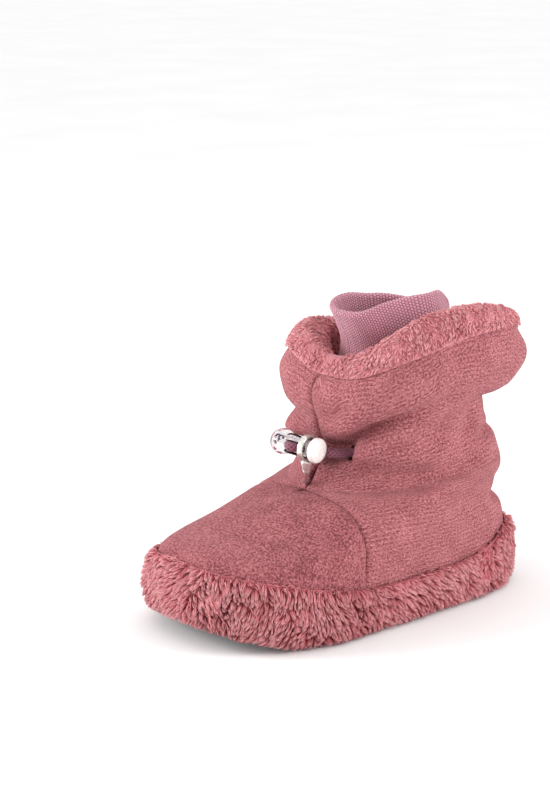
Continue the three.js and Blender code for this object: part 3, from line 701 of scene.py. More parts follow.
def cord_half(side):
    strand = CORD_X + side * STRAND
    inside = lock_place([(strand, -1.7, 0), (strand, 1, 0), (strand, 3.2, 0), (strand + side * 0.1, 4.9, 0)])
    hole = upper_at(np.full(1, float(CINCH)), side * 0.36, 0.9)[0]
    outside = [
        (side * 2.7 - 1.8, -11.1, 54.6),
        (side * 4.6 - 1.2, -10.1, 53.8),
        (side * 7.2, -9.6, 53.2),
        tuple(hole),
    ]
    angle = side * (0.62 + (math.pi - 0.62) * np.arange(12) / 12)
    channel = upper_at(np.full(12, float(CINCH)), angle, CORD_DEPTH)
    return np.concatenate([inside, outside, channel])


def tube(name, route, radius, sides, material, body="bootie", taper=None):
    """A closed tube with rounded ends along a route of points."""
    ahead = unit(np.gradient(route, axis=0))
    aside = np.zeros_like(route)
    aside[0] = unit(np.cross(ahead[0], (0.3, 0.2, 1)))
    for i in range(1, len(route)):
        turned_side = aside[i - 1] - (aside[i - 1] @ ahead[i]) * ahead[i]
        aside[i] = unit(turned_side)
    other = np.cross(ahead, aside)
    angle = np.arange(sides) * 2 * math.pi / sides
    radii = np.full(len(route), radius) if taper is None else taper
    ring = np.cos(angle)[None, :, None] * aside[:, None] + np.sin(angle)[None, :, None] * other[:, None]
    points = route[:, None] + ring * radii[:, None, None]
    caps = [(route[0] - ahead[0] * 0.35 * radii[0], points[0]), (route[-1] + ahead[-1] * 0.35 * radii[-1], points[-1])]
    rings = np.concatenate(
        [
            (points[0] * 0.02 + caps[0][0] * 0.98)[None],
            (points[0] * 0.75 + caps[0][0] * 0.25)[None],
            points,
            (points[-1] * 0.75 + caps[1][0] * 0.25)[None],
            (points[-1] * 0.02 + caps[1][0] * 0.98)[None],
        ]
    )
    rows = len(rings)
    faces = grid_faces(rows, sides, closed=True)
    hub = rows * sides
    every = np.arange(sides)
    after = (every + 1) % sides
    ends = np.concatenate(
        [
            np.stack([np.full(sides, hub), after, every], 1),
            np.stack([np.full(sides, hub + 1), every + (rows - 1) * sides, after + (rows - 1) * sides], 1),
        ]
    )
    flat = rings.reshape(-1, 3)
    points = np.concatenate([flat, rings[0].mean(0)[None], rings[-1].mean(0)[None]])
    triangles = np.concatenate([faces[:, [0, 1, 2]], faces[:, [0, 2, 3]], ends])
    piece = mesh_object(name, points, triangles, material, body)
    reach = np.concatenate([[0], np.cumsum(np.linalg.norm(np.diff(rings.mean(1), axis=0), axis=1))])
    cloth = np.stack(
        [np.repeat(reach[:, None], sides, 1), np.repeat(angle[None] * 4, rows, 0), np.zeros((rows, sides))], -1
    ).reshape(-1, 3)
    attribute(piece, "cloth", np.concatenate([cloth, cloth[:1], cloth[-1:]]))
    return piece


back_of_ankle = (upper_point(CINCH, math.pi) - upper_normal(np.float64(CINCH), math.pi) * CORD_DEPTH)[None]
bight = lock_place([(CORD_X, -3.4, 0)])
cord_points = np.concatenate([cord_half(1)[::-1], bight, cord_half(-1)])
cord_points[0] += (0.4, 0, 0)
cord_route, cord_length = catmull(cord_points, 420)
drawcord = tube("elastic_drawcord", cord_route, CORD_DIAMETER / 2, 20, CORD_CLOTH)
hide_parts("drawcord")

# ---- Fleece panels and linings ------------------------------------------------------------------------

vamp_levels = np.concatenate([np.linspace(0, 2, 24)[:-1], np.linspace(2, 5.95, 90)])[:, None]
vamp_half = np.maximum(angle_at_y(vamp_levels, VAMP_Y - 0.1), 0.03)
vamp_angle = vamp_half * np.linspace(-1, 1, 129)[None]
vamp_level = np.broadcast_to(vamp_levels, vamp_angle.shape)
vamp = panel("fleece_vamp", vamp_level, vamp_angle, 0, FLEECE_THICKNESS, SHADED_VAMP_FLEECE, plan=True)
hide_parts("vamp")
vamp_lining = panel(
    "lining_vamp", vamp_level[::4, ::4], vamp_angle[::4, ::4], LINING_DEPTH, LINING_THICKNESS, LINING_CLOTH
)
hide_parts("vamp_lining")

shaft_levels = np.concatenate([np.linspace(0, 2, 20)[:-1], np.linspace(2, RIM, 170)])[:, None]
slit = 1.3 * bump(shaft_levels - 6.7, 0.55)
front_gap = (0.02 + np.where(shaft_levels > VAMP_TOP, slit, 0)) / along_list(SECTIONS[:, 4], shaft_levels)
shaft_start = np.maximum(angle_at_y(shaft_levels, VAMP_Y + 0.1), front_gap)
shaft_end = math.pi - 0.01 / along_list(SECTIONS[:, 4], shaft_levels)


def buttonhole_cutter(side):
    """An oval plug, to cut the buttonhole that the cord comes out of."""
    angle = side * 0.36
    out = upper_normal(np.float64(CINCH), angle)
    level = unit(np.cross(out, (0, 0, 1)))
    middle = upper_at(np.full(1, float(CINCH)), angle, 1.5)[0]
    route = middle + out * np.array([-5, 0, 5])[:, None]
    cutter = tube("cutter", route, 2.2, 28, THREAD)
    mesh = cutter.data
    co = np.array([v.co for v in mesh.vertices])
    along = (co / MM - middle) @ level
    co += (along * 0.2 * MM)[:, None] * level
    mesh.vertices.foreach_set("co", co.astype(np.float32).ravel())
    return cutter, middle, level, np.cross(level, out)


def cut_away(piece, cutter):
    modifier = piece.modifiers.new("cut", "BOOLEAN")
    modifier.object, modifier.solver = cutter, "MANIFOLD"
    bpy.context.view_layer.update()
    graph = bpy.context.evaluated_depsgraph_get()
    cut = piece.evaluated_get(graph)
    made = bpy.data.meshes.new_from_object(cut, preserve_all_data_layers=True, depsgraph=graph)
    piece.modifiers.clear()
    old, piece.data = piece.data, made
    bpy.data.meshes.remove(old)


for name, side in (("outer", 1), ("inner", -1)):
    shaft_angle = side * (shaft_start + (shaft_end - shaft_start) * np.linspace(0, 1, 141)[None])
    shaft_level = np.broadcast_to(shaft_levels, shaft_angle.shape)
    quarter = panel(f"fleece_quarter_{name}", shaft_level, shaft_angle, 0, FLEECE_THICKNESS, FLEECE)
    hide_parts(f"quarter_{name}")
    cutter, hole_middle, hole_level, hole_up = buttonhole_cutter(side)
    cut_away(quarter, cutter)
    bpy.data.objects.remove(cutter)
    rows, columns = shaft_level[::4, ::4], shaft_angle[::4, ::4]
    outer = upper_at(rows, columns, lining_depth(rows))
    inner = upper_at(rows, columns, lining_depth(rows) + LINING_THICKNESS)
    cloth = cloth_place(outer)
    if side < 0:
        outer, inner, cloth = outer[:, ::-1], inner[:, ::-1], cloth[:, ::-1]
    lining = mesh_object(f"lining_quarter_{name}", *sheet_mesh(outer, inner), LINING_CLOTH)
    attribute(lining, "cloth", np.concatenate([cloth.reshape(-1, 3)] * 2))
    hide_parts(f"quarter_lining_{name}")

# ---- Sole layers -------------------------------------------------------------------------------------


def soft_layer(name, bottom, thickness, inset, material, edge):
    """A layer of the sole with its edge rounded over."""
    rows, columns = 90, 44
    t = np.linspace(0.03, math.pi - 0.03, rows)[:, None]
    s = np.sin(np.linspace(-math.pi / 2, math.pi / 2, columns))[None]
    along = -np.cos(t)
    y = np.broadcast_to(along * (HALF_LENGTH - inset), (rows, columns))
    half = sole_half_width(along * HALF_LENGTH) * (1 - inset / HALF_WIDTH)
    x = half * s
    rim = np.minimum((1 - np.abs(s)) * half, (1 - np.abs(along)) * HALF_LENGTH)
    tuck = edge * bump(rim, 1.2)
    lift = toe_spring(y)
    top = np.stack([x, y, bottom + thickness + lift - tuck], -1)
    under = np.stack([x, y, bottom + lift + tuck * 0.6 + 0 * x], -1)
    piece = mesh_object(name, *sheet_mesh(top, under), material)
    attribute(piece, "cloth", np.concatenate([cloth_place(top).reshape(-1, 3)] * 2))
    return piece


outsole = soft_layer("cloth_outsole", 0.85, 1.8, 0, TWILL, 0.35)
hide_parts("outsole")
insole = soft_layer("insole_pad", 3.3, 3.2, 5.6, FOAM, 0.6)
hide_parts("insole_foam")
footbed = soft_layer("footbed_cloth", 6.8, 1.4, 6, LINING_CLOTH, 0.4)
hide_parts("footbed_cover")

# ---- Pile: closed tapered strands of real mesh ------------------------------------------------------------


def scatter(points, triangles, count, rng):
    """Even random places on triangles, with the faces' normals and the triangles' total area."""
    a, b, c = (points[triangles[:, k]] for k in range(3))
    cross = np.cross(b - a, c - a)
    area = np.linalg.norm(cross, axis=1) / 2
    pick = np.searchsorted(np.cumsum(area) / area.sum(), rng.uniform(0, 1, count))
    pick = np.minimum(pick, len(triangles) - 1)
    u, v = rng.uniform(0, 1, (2, count, 1))
    flip = u + v > 1
    u, v = np.where(flip, 1 - u, u), np.where(flip, 1 - v, v)
    place = a[pick] + u * (b - a)[pick] + v * (c - a)[pick]
    return place, unit(cross[pick]), area.sum()


def pile(name, roots, normals, comb, length, width, clump, gather, seed, pale=0.0):
    """Strands from roots: they lean along comb, and gather in clumps towards shared tips."""
    rng = np.random.default_rng(seed)
    count = len(roots)
    own = rng.uniform(0, 1, count)
    reach = length * (0.72 + 0.45 * own + 0.18 * value_noise(roots, 5, seed))[:, None]
    stray = rng.normal(0, 0.26, (count, 3))
    swirl = np.stack([value_noise(roots, 2.6, seed + k) for k in (1, 2, 3)], 1) * 0.75
    ahead = unit(normals * 0.75 + comb * 0.55 + swirl + stray)
    tips = roots + ahead * reach + comb * reach * 0.35

    centres = roots[rng.permutation(count)[: max(8, int(count / clump))]]
    tree = kdtree.KDTree(len(centres))
    for i, centre in enumerate(centres):
        tree.insert(Vector(centre), i)
    tree.balance()
    group = np.array([tree.find(Vector(p))[1] for p in roots])
    total = np.zeros((len(centres), 3))
    np.add.at(total, group, tips)
    share = np.bincount(group, minlength=len(centres))[:, None]
    meeting = total / np.maximum(share, 1)
    pull = (gather * (0.5 + own))[:, None].clip(0, 0.85)
    tips = tips + (meeting[group] - tips) * pull

    bend = roots + normals * reach * 0.42 + (tips - roots) * 0.22
    aside = unit(np.cross(ahead, rng.normal(0, 1, (count, 3))))
    other = np.cross(ahead, aside)
    levels = (0.0, 0.4, 0.75)
    rings = []
    for t in levels:
        centre = (1 - t) ** 2 * (roots - normals * 0.5) + 2 * t * (1 - t) * bend + t * t * tips
        wide = width * (0.7 + 0.6 * own) * (1 - t) ** 0.6
        for k in range(3):
            angle = 2 * math.pi * k / 3
            rings.append(centre + (aside * math.cos(angle) + other * math.sin(angle)) * wide[:, None] / 2)
    rings.append(tips)
    points = np.stack(rings, 1)
    ground = np.maximum(0, toe_spring(points[..., 1]) - 2) + 0.3 + 0.7 * own[:, None]
    points[..., 2] = np.maximum(points[..., 2], ground)
    shape = [(0, 2, 1)]
    for level in (0, 3):
        for k in range(3):
            a, b = level + k, level + (k + 1) % 3
            shape += [(a, b, b + 3), (a, b + 3, a + 3)]
    shape += [(6, 7, 9), (7, 8, 9), (8, 6, 9)]
    triangles = (np.arange(count) * 10)[:, None, None] + np.array(shape)[None]
    piece = mesh_object(name, points.reshape(-1, 3), triangles.reshape(-1, 3), PILE)
    along = np.array([levels[0]] * 3 + [levels[1]] * 3 + [levels[2]] * 3 + [1.0])
    # The tip value runs from pale at the root to 1 at the tip and carries the pile's painted root shade.
    attribute(piece, "tip", np.tile(pale + (1 - pale) * along, count))
    attribute(piece, "own", np.repeat(own - 0.5, 10))
    return piece


def triangles_of(quads):
    return np.concatenate([quads[:, [0, 1, 2]], quads[:, [0, 2, 3]]])


# ---- Plush sidewall -----------------------------------------------------------------------------------


BAND_TOP_Y = (-64, -61, -54, -42, -30, -16.6, -3, 25, 36, 46, 53, 64)
BAND_TOP_Z = (24.6, 23.8, 22.2, 19.6, 17.0, 14.3, 13.5, 13.5, 14.6, 16.8, 19.8, 20.4)


def band_top(y):
    return np.interp(y, BAND_TOP_Y, BAND_TOP_Z)


def level_at_height(angle, height):
    low, high = np.zeros_like(angle), np.full_like(angle, 4.0)
    for _ in range(24):
        middle = (low + high) / 2
        under = upper_point(middle, angle)[..., 2] < height
        low, high = np.where(under, middle, low), np.where(under, high, middle)
    return low


def ring_angles(count):
    fine = np.linspace(0, 2 * math.pi, 4001)
    x, y = sole_point(fine)
    reach = np.concatenate([[0], np.cumsum(np.hypot(np.diff(x), np.diff(y)))])
    return np.interp(np.arange(count) * reach[-1] / count, reach, fine)


def band_rings(around, steps):
    angle = ring_angles(around)
    edge_x, edge_y = sole_point(angle)
    out = sole_normal(angle)
    spring, top = toe_spring(edge_y), band_top(edge_y)
    full = 1 - 0.75 * np.abs(edge_y / HALF_LENGTH) ** 5
    top_level = level_at_height(angle, top)

    def outside(offset, z):
        z = z + spring * (1 - z / 60)
        return np.stack([edge_x + out[:, 0] * offset, edge_y + out[:, 1] * offset, z], -1)

    inner = [
        upper_point(0.02 + (top_level - 0.02) * k / 4, angle)
        + upper_normal(0.02 + (top_level - 0.02) * k / 4, angle) * 0.5
        for k in range(5)
    ]
    lip = upper_point(top_level, angle) + upper_normal(top_level, angle) * 1.4
    lip[:, 2] = top + 0.4
    wall = top - spring
    low = np.full(around, 1.0)
    ring = np.stack(
        [
            *inner,
            lip,
            outside(2.4, 0.85 * wall),
            outside(3.1, 0.62 * wall),
            outside(2.2 + 1.4 * full, 0.36 * wall),
            outside(0.6 + 2.6 * full, 3 * low),
            outside(0.4 + 1.4 * full, 1.2 * low),
            outside(0.6, 1.1 * low),
            outside(0.6, 2.9 * low),
        ],
        1,
    )
    smooth = np.stack([smooth_ring(r, steps) for r in ring])
    return smooth


band = band_rings(260, 52)
sidewall = mesh_object("plush_sidewall_backing", *loop_mesh(band), BACKING)
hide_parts("plush_sidewall")

band_points, band_quads = loop_mesh(band)
ring_place = (band_quads[:, 0] % 52) * 13 / 52
furry = band_quads[(ring_place > 4.2) & (ring_place < 10.6)]
rng = np.random.default_rng(11)
roots, normals, area = scatter(band_points, triangles_of(furry), 38000, rng)
outward = unit(roots * (1, 0.55, 0))
comb = unit(
    np.array([0, 0, -0.6])
    + outward * 0.2
    + np.stack([value_noise(roots, 14, s) for s in (21, 22, 23)], 1) * (0.7, 0.7, 0.5)
)
quarter_of = np.where(roots[:, 1] < -38, 0, np.where(roots[:, 1] > 38, 2, np.where(roots[:, 0] > 0, 1, 3)))
for i, name in enumerate(("toe", "outer", "heel", "inner")):
    here = quarter_of == i
    tuft = pile(f"plush_sidewall_{name}", roots[here], normals[here], comb[here], 3.1, 0.46, 12, 0.75, 31 + i, 0.1)

# ---- Plush collar --------------------------------------------------------------------------------------


def collar_rings(around, steps):
    shell = LINING_DEPTH + LINING_THICKNESS
    gap, thick, crest = 0.25, 0.6, 1.6
    angle = -2 * math.pi * np.arange(around) / around
    leaf = round_list(LEAF, angle)
    outside = gap + thick
    inside = shell + gap + thick + 4.5 * np.exp(-(1 - np.cos(angle + 0.5)) / 0.35)
    inside = inside + 5.0 * np.exp(-(1 - np.cos(angle - 0.3)) / 0.12)
    hug = 5.0 * np.exp(-(1 - np.cos(angle + 0.35)) / 0.3)
    rim = upper_point(float(RIM), angle)
    up = unit(rim - upper_point(RIM - 0.3, angle))
    out = upper_normal(np.full(around, float(RIM)), angle)
    over = lambda rise, depth: rim + up * rise - out * np.broadcast_to(depth, around)[:, None]
    at = lambda drop, depth: upper_at(RIM - drop, angle, depth)
    ring = np.stack(
        [
            at(leaf, -gap),
            at(leaf * 0.94, -outside * 0.8),
            at(leaf * 0.45, -outside - 0.9),
            over(crest * 0.6, -outside + 0.4),
            over(crest, (inside - outside) / 2),
            over(crest * 0.6, inside - 0.6),
            at(0.4, inside + 0.3),
            at(1.2, inside + hug),
            at(1.7, inside + hug),
            at(1.7, shell + gap),
            at(1.2, shell + gap),
            over(gap, shell + gap),
            over(gap, -gap),
            at(leaf * 0.5, -gap),
        ],
        1,
    )
    return np.stack([smooth_ring(r, steps) for r in ring])


collar = collar_rings(200, 56)
collar_points, collar_quads = loop_mesh(collar)
collar_backing = mesh_object("plush_collar_backing", collar_points, collar_quads, COLLAR_BACKING)
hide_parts("plush_collar")
ring_place = (collar_quads[:, 0] % 56) * 14 / 56
furry = collar_quads[(ring_place > 0.95) & (ring_place < 8.2)]
roots, normals, area = scatter(collar_points, triangles_of(furry), 23000, np.random.default_rng(12))
comb = unit(np.array([0, 0, -0.6]) + np.stack([value_noise(roots, 9, s) for s in (24, 25, 26)], 1) * 0.35)
quarter_of = np.where(roots[:, 1] < 8, 0, np.where(roots[:, 1] > 46, 2, np.where(roots[:, 0] > 0, 1, 3)))
for i, name in enumerate(("front", "outer", "back", "inner")):
    here = quarter_of == i
    pile(f"plush_collar_{name}", roots[here], normals[here], comb[here], 1.6, 0.5, 8, 0.6, 41 + i, 0.55)

# ---- Knitted cuff --------------------------------------------------------------------------------------

# Height, middle (y), half-width and half-length of the cuff, from its sewn edge to its fold.
CUFF = np.array([(66, 19.5, 24.5, 25.5), (76, 24.5, 18, 22.5), (85, 25.2, 14, 21.5), (91, 24, 13.2, 22.7), (96, 22.5, 12.5, 24.5)])
# Height of the cuff's fold every 30 degrees from the front, by way of the outer side.
CUFF_TOP = (98.3, 97.8, 101.0, 102.4, 101.6, 97.5, 94.3, 95.5, 97.3, 99.3, 101.3, 100.3)
STITCH = 0.92


def cuff_wall(place, angle, inset):
    z, y, half, length = (along_list(c, place) for c in CUFF.T)
    high = smoothstep(place, 1.5, 4)
    front, side = np.cos(angle), np.sin(angle)
    top = round_list(CUFF_TOP, angle)
    rise = (top - 97.3) * high
    pinch = 1 - 0.6 * high * smoothstep(-front, 0.1, 1.0)
    slump = 1.1 * high * np.sin(3 * angle + 0.6)
    x = signed_power(side, 0.9) * (half - inset) * pinch + 0 * z
    yy = y - signed_power(front, 0.9) * (length - inset) + 0 * z
    return np.stack([x + slump * 0.5, yy, z + rise + slump * 0.4], -1)


around, wall_steps, fold_steps = 364, 112, 14
cuff_angle = 2 * math.pi * np.arange(around)[None] / around
place = np.linspace(0, 4, wall_steps)[:, None]
outer = cuff_wall(place, cuff_angle, 0.0)
inner = cuff_wall(place, cuff_angle, 1.9)
fold = []
for t in np.linspace(0, math.pi, fold_steps + 2)[1:-1]:
    mix = (1 - math.cos(t)) / 2
    ring = outer[-1] * (1 - mix) + inner[-1] * mix
    ring = ring + np.array([0, 0, 1.3 * math.sin(t)])
    fold.append(ring)
cuff_grid = np.concatenate([outer, np.array(fold), inner[::-1]])
rows = len(cuff_grid)
along_wall = np.concatenate([[0], np.cumsum(np.linalg.norm(np.diff(cuff_grid, axis=0), axis=2).mean(1))])
stitches = 132
knit_place = np.stack(
    [
        np.broadcast_to(cuff_angle * stitches / (2 * math.pi), (rows, around)),
        np.broadcast_to((along_wall / STITCH)[:, None], (rows, around)),
        np.zeros((rows, around)),
    ],
    -1,
)
d_around = np.roll(cuff_grid, -1, 1) - np.roll(cuff_grid, 1, 1)
d_up = np.gradient(cuff_grid, axis=0)
cuff_normal = unit(np.cross(d_around, d_up))
rib = 0.16 * np.abs(np.sin(math.pi * knit_place[..., 0])) + 0.05 * np.sin(2 * math.pi * knit_place[..., 1])
cuff_grid = cuff_grid + cuff_normal * (rib - 0.1 + 0.25 * value_noise(cuff_grid, 7, 3))[..., None]
cuff = mesh_object("knit_cuff", *loop_mesh(cuff_grid), KNIT)
attribute(cuff, "cloth", knit_place.reshape(-1, 3))
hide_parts("rib_cuff")

# ---- Cord lock -----------------------------------------------------------------------------------------


def turned(name, profile, material, body, segments=72, closed=False):
    """A turned piece along the lock's X axis from (x, radius) points; a closed profile makes a ring."""
    profile = np.array(profile, float)
    angle = np.arange(segments) * 2 * math.pi / segments
    if closed:
        rings = np.stack(
            [
                np.broadcast_to(profile[None, :, 0], (segments, len(profile))),
                np.cos(angle)[:, None] * profile[None, :, 1],
                np.sin(angle)[:, None] * profile[None, :, 1],
            ],
            -1,
        )
        points, faces = loop_mesh(rings)
        triangles = triangles_of(faces)
    else:
        body_part = profile[1:-1]
        rings = np.stack(
            [
                np.broadcast_to(body_part[:, None, 0], (len(body_part), segments)),
                np.cos(angle)[None] * body_part[:, None, 1],
                np.sin(angle)[None] * body_part[:, None, 1],
            ],
            -1,
        )
        faces = grid_faces(len(body_part), segments, closed=True)
        count = len(body_part) * segments
        every = np.arange(segments)
        after = (every + 1) % segments
        first = np.stack([np.full(segments, count), after, every], 1)
        last = (len(body_part) - 1) * segments
        final = np.stack([np.full(segments, count + 1), every + last, after + last], 1)
        points = np.concatenate([rings.reshape(-1, 3), [(profile[0][0], 0, 0)], [(profile[-1][0], 0, 0)]])
        triangles = np.concatenate([triangles_of(faces), first, final])
    return mesh_object(name, lock_place(points), triangles, material, body)


def arc(centre, radius, start, end, steps):
    """(x, radius) points on an arc about (centre x, centre radius), angles from the X axis in degrees."""
    angles = np.radians(np.linspace(start, end, steps))
    return [(centre[0] + radius * math.cos(a), centre[1] + radius * math.sin(a)) for a in angles]


def slot_cutter(middle, width, height):
    """A plug with round ends, as wide as the cord's two strands, from front to back of the lock."""
    steps = 16
    half = (width - height) / 2
    ends = []
    for centre, start in ((half, -90), (-half, 90)):
        for a in np.radians(np.linspace(start, start + 180, steps)):
            ends.append((middle + centre + height / 2 * math.cos(a), height / 2 * math.sin(a)))
    outline = np.array(ends)
    count = len(outline)
    layers = np.stack(
        [np.stack([outline[:, 0], np.full(count, y), outline[:, 1]], 1) for y in (-8.0, 8.0)]
    ).reshape(-1, 3)
    points = np.concatenate([layers, [(middle, -8, 0), (middle, 8, 0)]])
    every = np.arange(count)
    after = (every + 1) % count
    triangles = np.concatenate(
        [
            np.stack([every, after, after + count], 1),
            np.stack([every, after + count, every + count], 1),
            np.stack([after, every, np.full(count, 2 * count)], 1),
            np.stack([every + count, after + count, np.full(count, 2 * count + 1)], 1),
        ]
    )
    return mesh_object("cutter", lock_place(points), triangles[:, ::-1], STEEL, "cord_lock")


BALL_X, BALL, TUBE, BORE, BORE_END, MOUTH = -6.6, 4.3, 3.4, 2.9, -9.0, 3.8
neck = math.degrees(math.atan2(TUBE, math.sqrt(BALL**2 - TUBE**2)))
barrel_profile = [(BALL_X - BALL, 0)] + arc((BALL_X, 0), BALL, 176, neck, 30)
barrel_profile += arc((MOUTH - 0.25, TUBE - 0.25), 0.25, 90, 0, 5)
barrel_profile += arc((MOUTH - 0.25, BORE + 0.25), 0.25, 0, -90, 5)
barrel_profile += arc((BORE_END + 0.6, BORE - 0.6), 0.6, 90, 180, 6) + [(BORE_END, 0)]
barrel = turned("lock_barrel_clear", barrel_profile, CLEAR, "cord_lock")
width = 2 * STRAND + CORD_DIAMETER + 0.4
cutter = slot_cutter(CORD_X, width, CORD_DIAMETER + 0.5)
cut_away(barrel, cutter)
bpy.data.objects.remove(cutter)
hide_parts("lock_barrel")

SLACK, TRAVEL, STEM, CAP_X, CAP = 0.25, 1.8, 2.6, 6.4, 4.1
window_start = CORD_X - STRAND - CORD_DIAMETER / 2 - SLACK
window_end = CORD_X + STRAND + CORD_DIAMETER / 2 + SLACK + TRAVEL
plunger_profile = [(window_start - 1, 0)] + arc((window_start - 0.7, STEM - 0.3), 0.3, 180, 90, 5)
plunger_profile += [(CAP_X, STEM)] + arc((CAP_X + 0.35, CAP - 0.35), 0.35, 180, 90, 6)
plunger_profile += arc((CAP_X + 1.3, CAP - 0.85), 0.85, 90, 30, 8)
plunger_profile += [(CAP_X + 2.3, 2.2), (CAP_X + 2.38, 1.1), (CAP_X + 2.4, 0)]
plunger = turned("lock_plunger_cap", plunger_profile, PEARL, "push_button")
cutter = slot_cutter((window_start + window_end) / 2, window_end - window_start, CORD_DIAMETER + 0.5)
cut_away(plunger, cutter)
bpy.data.objects.remove(cutter)
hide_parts("lock_plunger")

RING_START, RING_END, RING_IN, RING_OUT, LUG_X = 2.6, 4.5, 3.5, 4.5, 3.6
ring_profile = (
    arc((RING_START + 0.35, RING_OUT - 0.35), 0.35, 180, 90, 6)
    + arc((RING_END - 0.35, RING_OUT - 0.35), 0.35, 90, 0, 6)
    + [(RING_END, RING_IN), (RING_START, RING_IN)]
)
ring = turned("lock_ring_bright", ring_profile[::-1], CHROME, "cord_lock", closed=True)
lug_route = np.stack([np.full(24, LUG_X), np.zeros(24), np.linspace(-4.4, -8.5, 24)], 1)
lug_taper = np.interp(np.linspace(0, 1, 24), [0, 0.15, 0.7, 0.93, 1], [2.0, 1.9, 1.25, 1.1, 0.8])
lug = tube("lock_lug_bright", lock_place(lug_route), 1, 24, CHROME, "cord_lock", lug_taper)
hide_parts("lock_ring")

spring_start, spring_end = BORE_END + 0.35, window_start - 1.4
turns = np.linspace(0, 3.5, 150)
coil = np.stack(
    [
        spring_start + (spring_end - spring_start) * smoothstep(turns / 3.5, 0, 1),
        np.cos(turns * 2 * math.pi) * 1.9,
        np.sin(turns * 2 * math.pi) * 1.9,
    ],
    1,
)
spring = tube("lock_spring_coil", lock_place(coil), 0.25, 8, STEEL, None)
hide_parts("lock_spring")
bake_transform(spring)

tab_start = lock_place([(LUG_X, 0, -8.9)])[0]
tab_route, tab_length = catmull(
    [tab_start, (2.6, -16.4, 45), (1, -16, 44), (0, -14.8, 43.4), (0, -12.9, 43.6)], 40
)
tab = tube("tether_tape", tab_route, 0.8, 14, TAPE, None)
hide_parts("tether_tab")
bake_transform(tab)

# ---- Rubber grips --------------------------------------------------------------------------------------

# Distance from the toe end, place across and radius of each star.
STARS = [
    (15.7, 21.4, 2.1), (11.6, 11.5, 2.8), (11.7, -1.2, 3.7), (15.8, -13.2, 2.8), (22.9, -21.1, 1.9),
    (27.1, 24.3, 2.1), (30.7, 15.3, 3), (31.9, 1.7, 7.5), (36.4, -12.4, 3), (37.9, -22.3, 2.1),
    (46.2, 24.6, 2.1), (51.8, 17.8, 3.5), (53.5, 4.2, 3.7), (54.2, -8.9, 3.3), (53.4, -20.2, 1.7),
]


def star_grip(index, toe, side, radius):
    """A star with flat faces and bevelled edges, its back on the outsole."""
    angle = np.arange(10) * math.pi / 5 - math.pi / 2
    reach = np.where(np.arange(10) % 2, radius * 0.45, radius)
    rim = np.stack([np.cos(angle) * reach, np.sin(angle) * reach], 1)
    centre_y = toe - HALF_LENGTH
    layers = [(1.0, 0.8), (1.0, 0.25), (0.86, 0.05), (0.55, 0.0)]
    points = [np.column_stack([rim * s, np.full(10, z)]) for s, z in layers]
    points = np.concatenate([*points, [(0, 0, 0.8), (0, 0, 0.0)]])
    slope = (toe_spring(centre_y + 1) - toe_spring(centre_y - 1)) / 2
    tilt = math.atan(slope)
    x = points[:, 0] - side
    y = points[:, 1] * math.cos(tilt) - points[:, 2] * math.sin(tilt) + centre_y
    z = points[:, 1] * math.sin(tilt) + points[:, 2] * math.cos(tilt) + toe_spring(centre_y)
    every = np.arange(10)
    after = (every + 1) % 10
    triangles = [np.stack([np.full(10, 40), every, after], 1)]
    for level in range(3):
        a, b = every + level * 10, after + level * 10
        triangles += [np.stack([b, a, a + 10], 1), np.stack([b, a + 10, b + 10], 1)]
    triangles.append(np.stack([np.full(10, 41), after + 30, every + 30], 1))
    node = f"star_grip_{index:02d}"
    star = mesh_object(f"star_{index:02d}", np.stack([x, y, z], 1), np.concatenate(triangles), RUBBER, smooth=False)
    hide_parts(node)


for i, star in enumerate(STARS):
    star_grip(i + 1, *star)


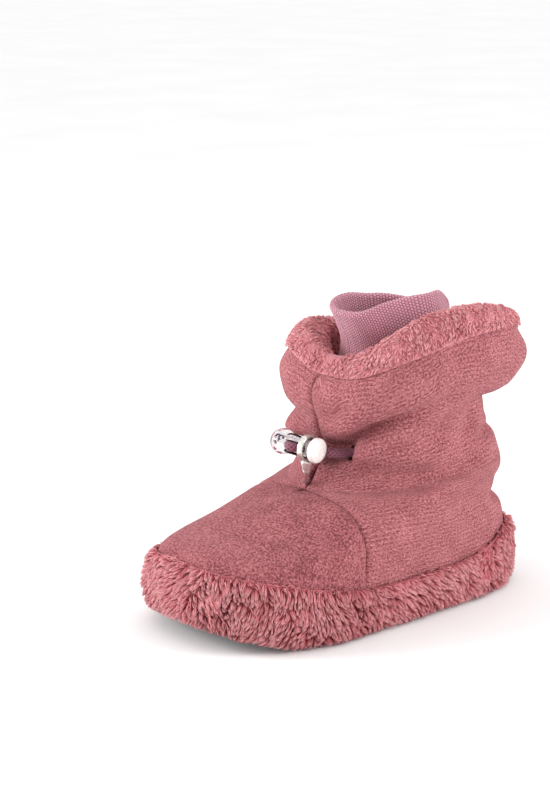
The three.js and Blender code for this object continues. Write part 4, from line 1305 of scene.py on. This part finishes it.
def round_grip(name, node, outer, inner):
    segments = 96
    angle = np.arange(segments) * 2 * math.pi / segments
    profile = [(outer, 0.8), (outer, 0.3), (outer - 0.1, 0.08), (outer - 0.35, 0.0)]
    if inner:
        profile += [(inner + 0.35, 0.0), (inner + 0.1, 0.08), (inner, 0.3), (inner, 0.8)]
    profile = np.array(profile)
    rings = np.stack(
        [
            np.cos(angle)[:, None] * profile[None, :, 0],
            np.sin(angle)[:, None] * profile[None, :, 0] + 47,
            np.broadcast_to(profile[None, :, 1], (segments, len(profile))),
        ],
        -1,
    )
    if inner:
        points, faces = loop_mesh(rings)
        triangles = triangles_of(faces)
    else:
        rings = rings.transpose(1, 0, 2)
        faces = grid_faces(len(profile), segments, closed=True)
        count = len(profile) * segments
        every = np.arange(segments)
        after = (every + 1) % segments
        last = count - segments
        points = np.concatenate([rings.reshape(-1, 3), [(0, 47, 0.8), (0, 47, 0)]])
        triangles = np.concatenate(
            [
                triangles_of(faces)[:, ::-1],
                np.stack([np.full(segments, count), every, after], 1),
                np.stack([np.full(segments, count + 1), after + last, every + last], 1),
            ]
        )
    grip = mesh_object(name, points, triangles, RUBBER)
    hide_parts(node)


round_grip("heel_ring_large", "heel_grip_ring_1", 13, 11)
round_grip("heel_ring_small", "heel_grip_ring_2", 9, 7)
round_grip("heel_disc", "heel_grip_disc", 5, 0)

# ---- Floor, light and world -------------------------------------------------------------------------------

floor_paint = Paint("floor", Roughness=0.9)
floor_tone = floor_paint.noise(floor_paint.place(), 0.01, 2)
floor_paint.link(
    floor_paint.ramp(floor_tone, (0.3, colour(250, 250, 250)), (0.7, colour(254, 254, 254))), "Base Color"
)
FLOOR_Z = -0.0001
floor_mesh = bpy.data.meshes.new("floor")
floor_mesh.from_pydata([(x, y, FLOOR_Z) for x, y in ((-4, -4), (4, -4), (4, 4), (-4, 4))], [], [(0, 1, 2, 3)])
floor_mesh.materials.append(floor_paint.material)
floor = bpy.data.objects.new("floor", floor_mesh)
bpy.context.scene.collection.objects.link(floor)

world = bpy.data.worlds.new("studio")
bpy.context.scene.world = world
world.use_nodes = True
world.node_tree.nodes["Background"].inputs["Color"].default_value = (1, 1, 1, 1)
world.node_tree.nodes["Background"].inputs["Strength"].default_value = 1.0


def area_light(name, place, target, size, power):
    light = bpy.data.lights.new(name, "AREA")
    light.shape = "DISK"
    light.size = size
    light.energy = power
    made = bpy.data.objects.new(name, light)
    bpy.context.scene.collection.objects.link(made)
    made.location = place
    made.rotation_mode = "QUATERNION"
    made.rotation_quaternion = (Vector(place) - Vector(target)).to_track_quat("Z", "Y")


area_light("left", (-0.45, -0.6, 0.3), (0, 0, 0.06), 0.4, 4.2)
area_light("right", (0.65, 0.4, 0.32), (0, 0, 0.06), 0.4, 3.0)

view_settings = bpy.context.scene.view_settings
view_settings.view_transform = "Standard"
view_settings.look = "None"
view_settings.exposure = 0
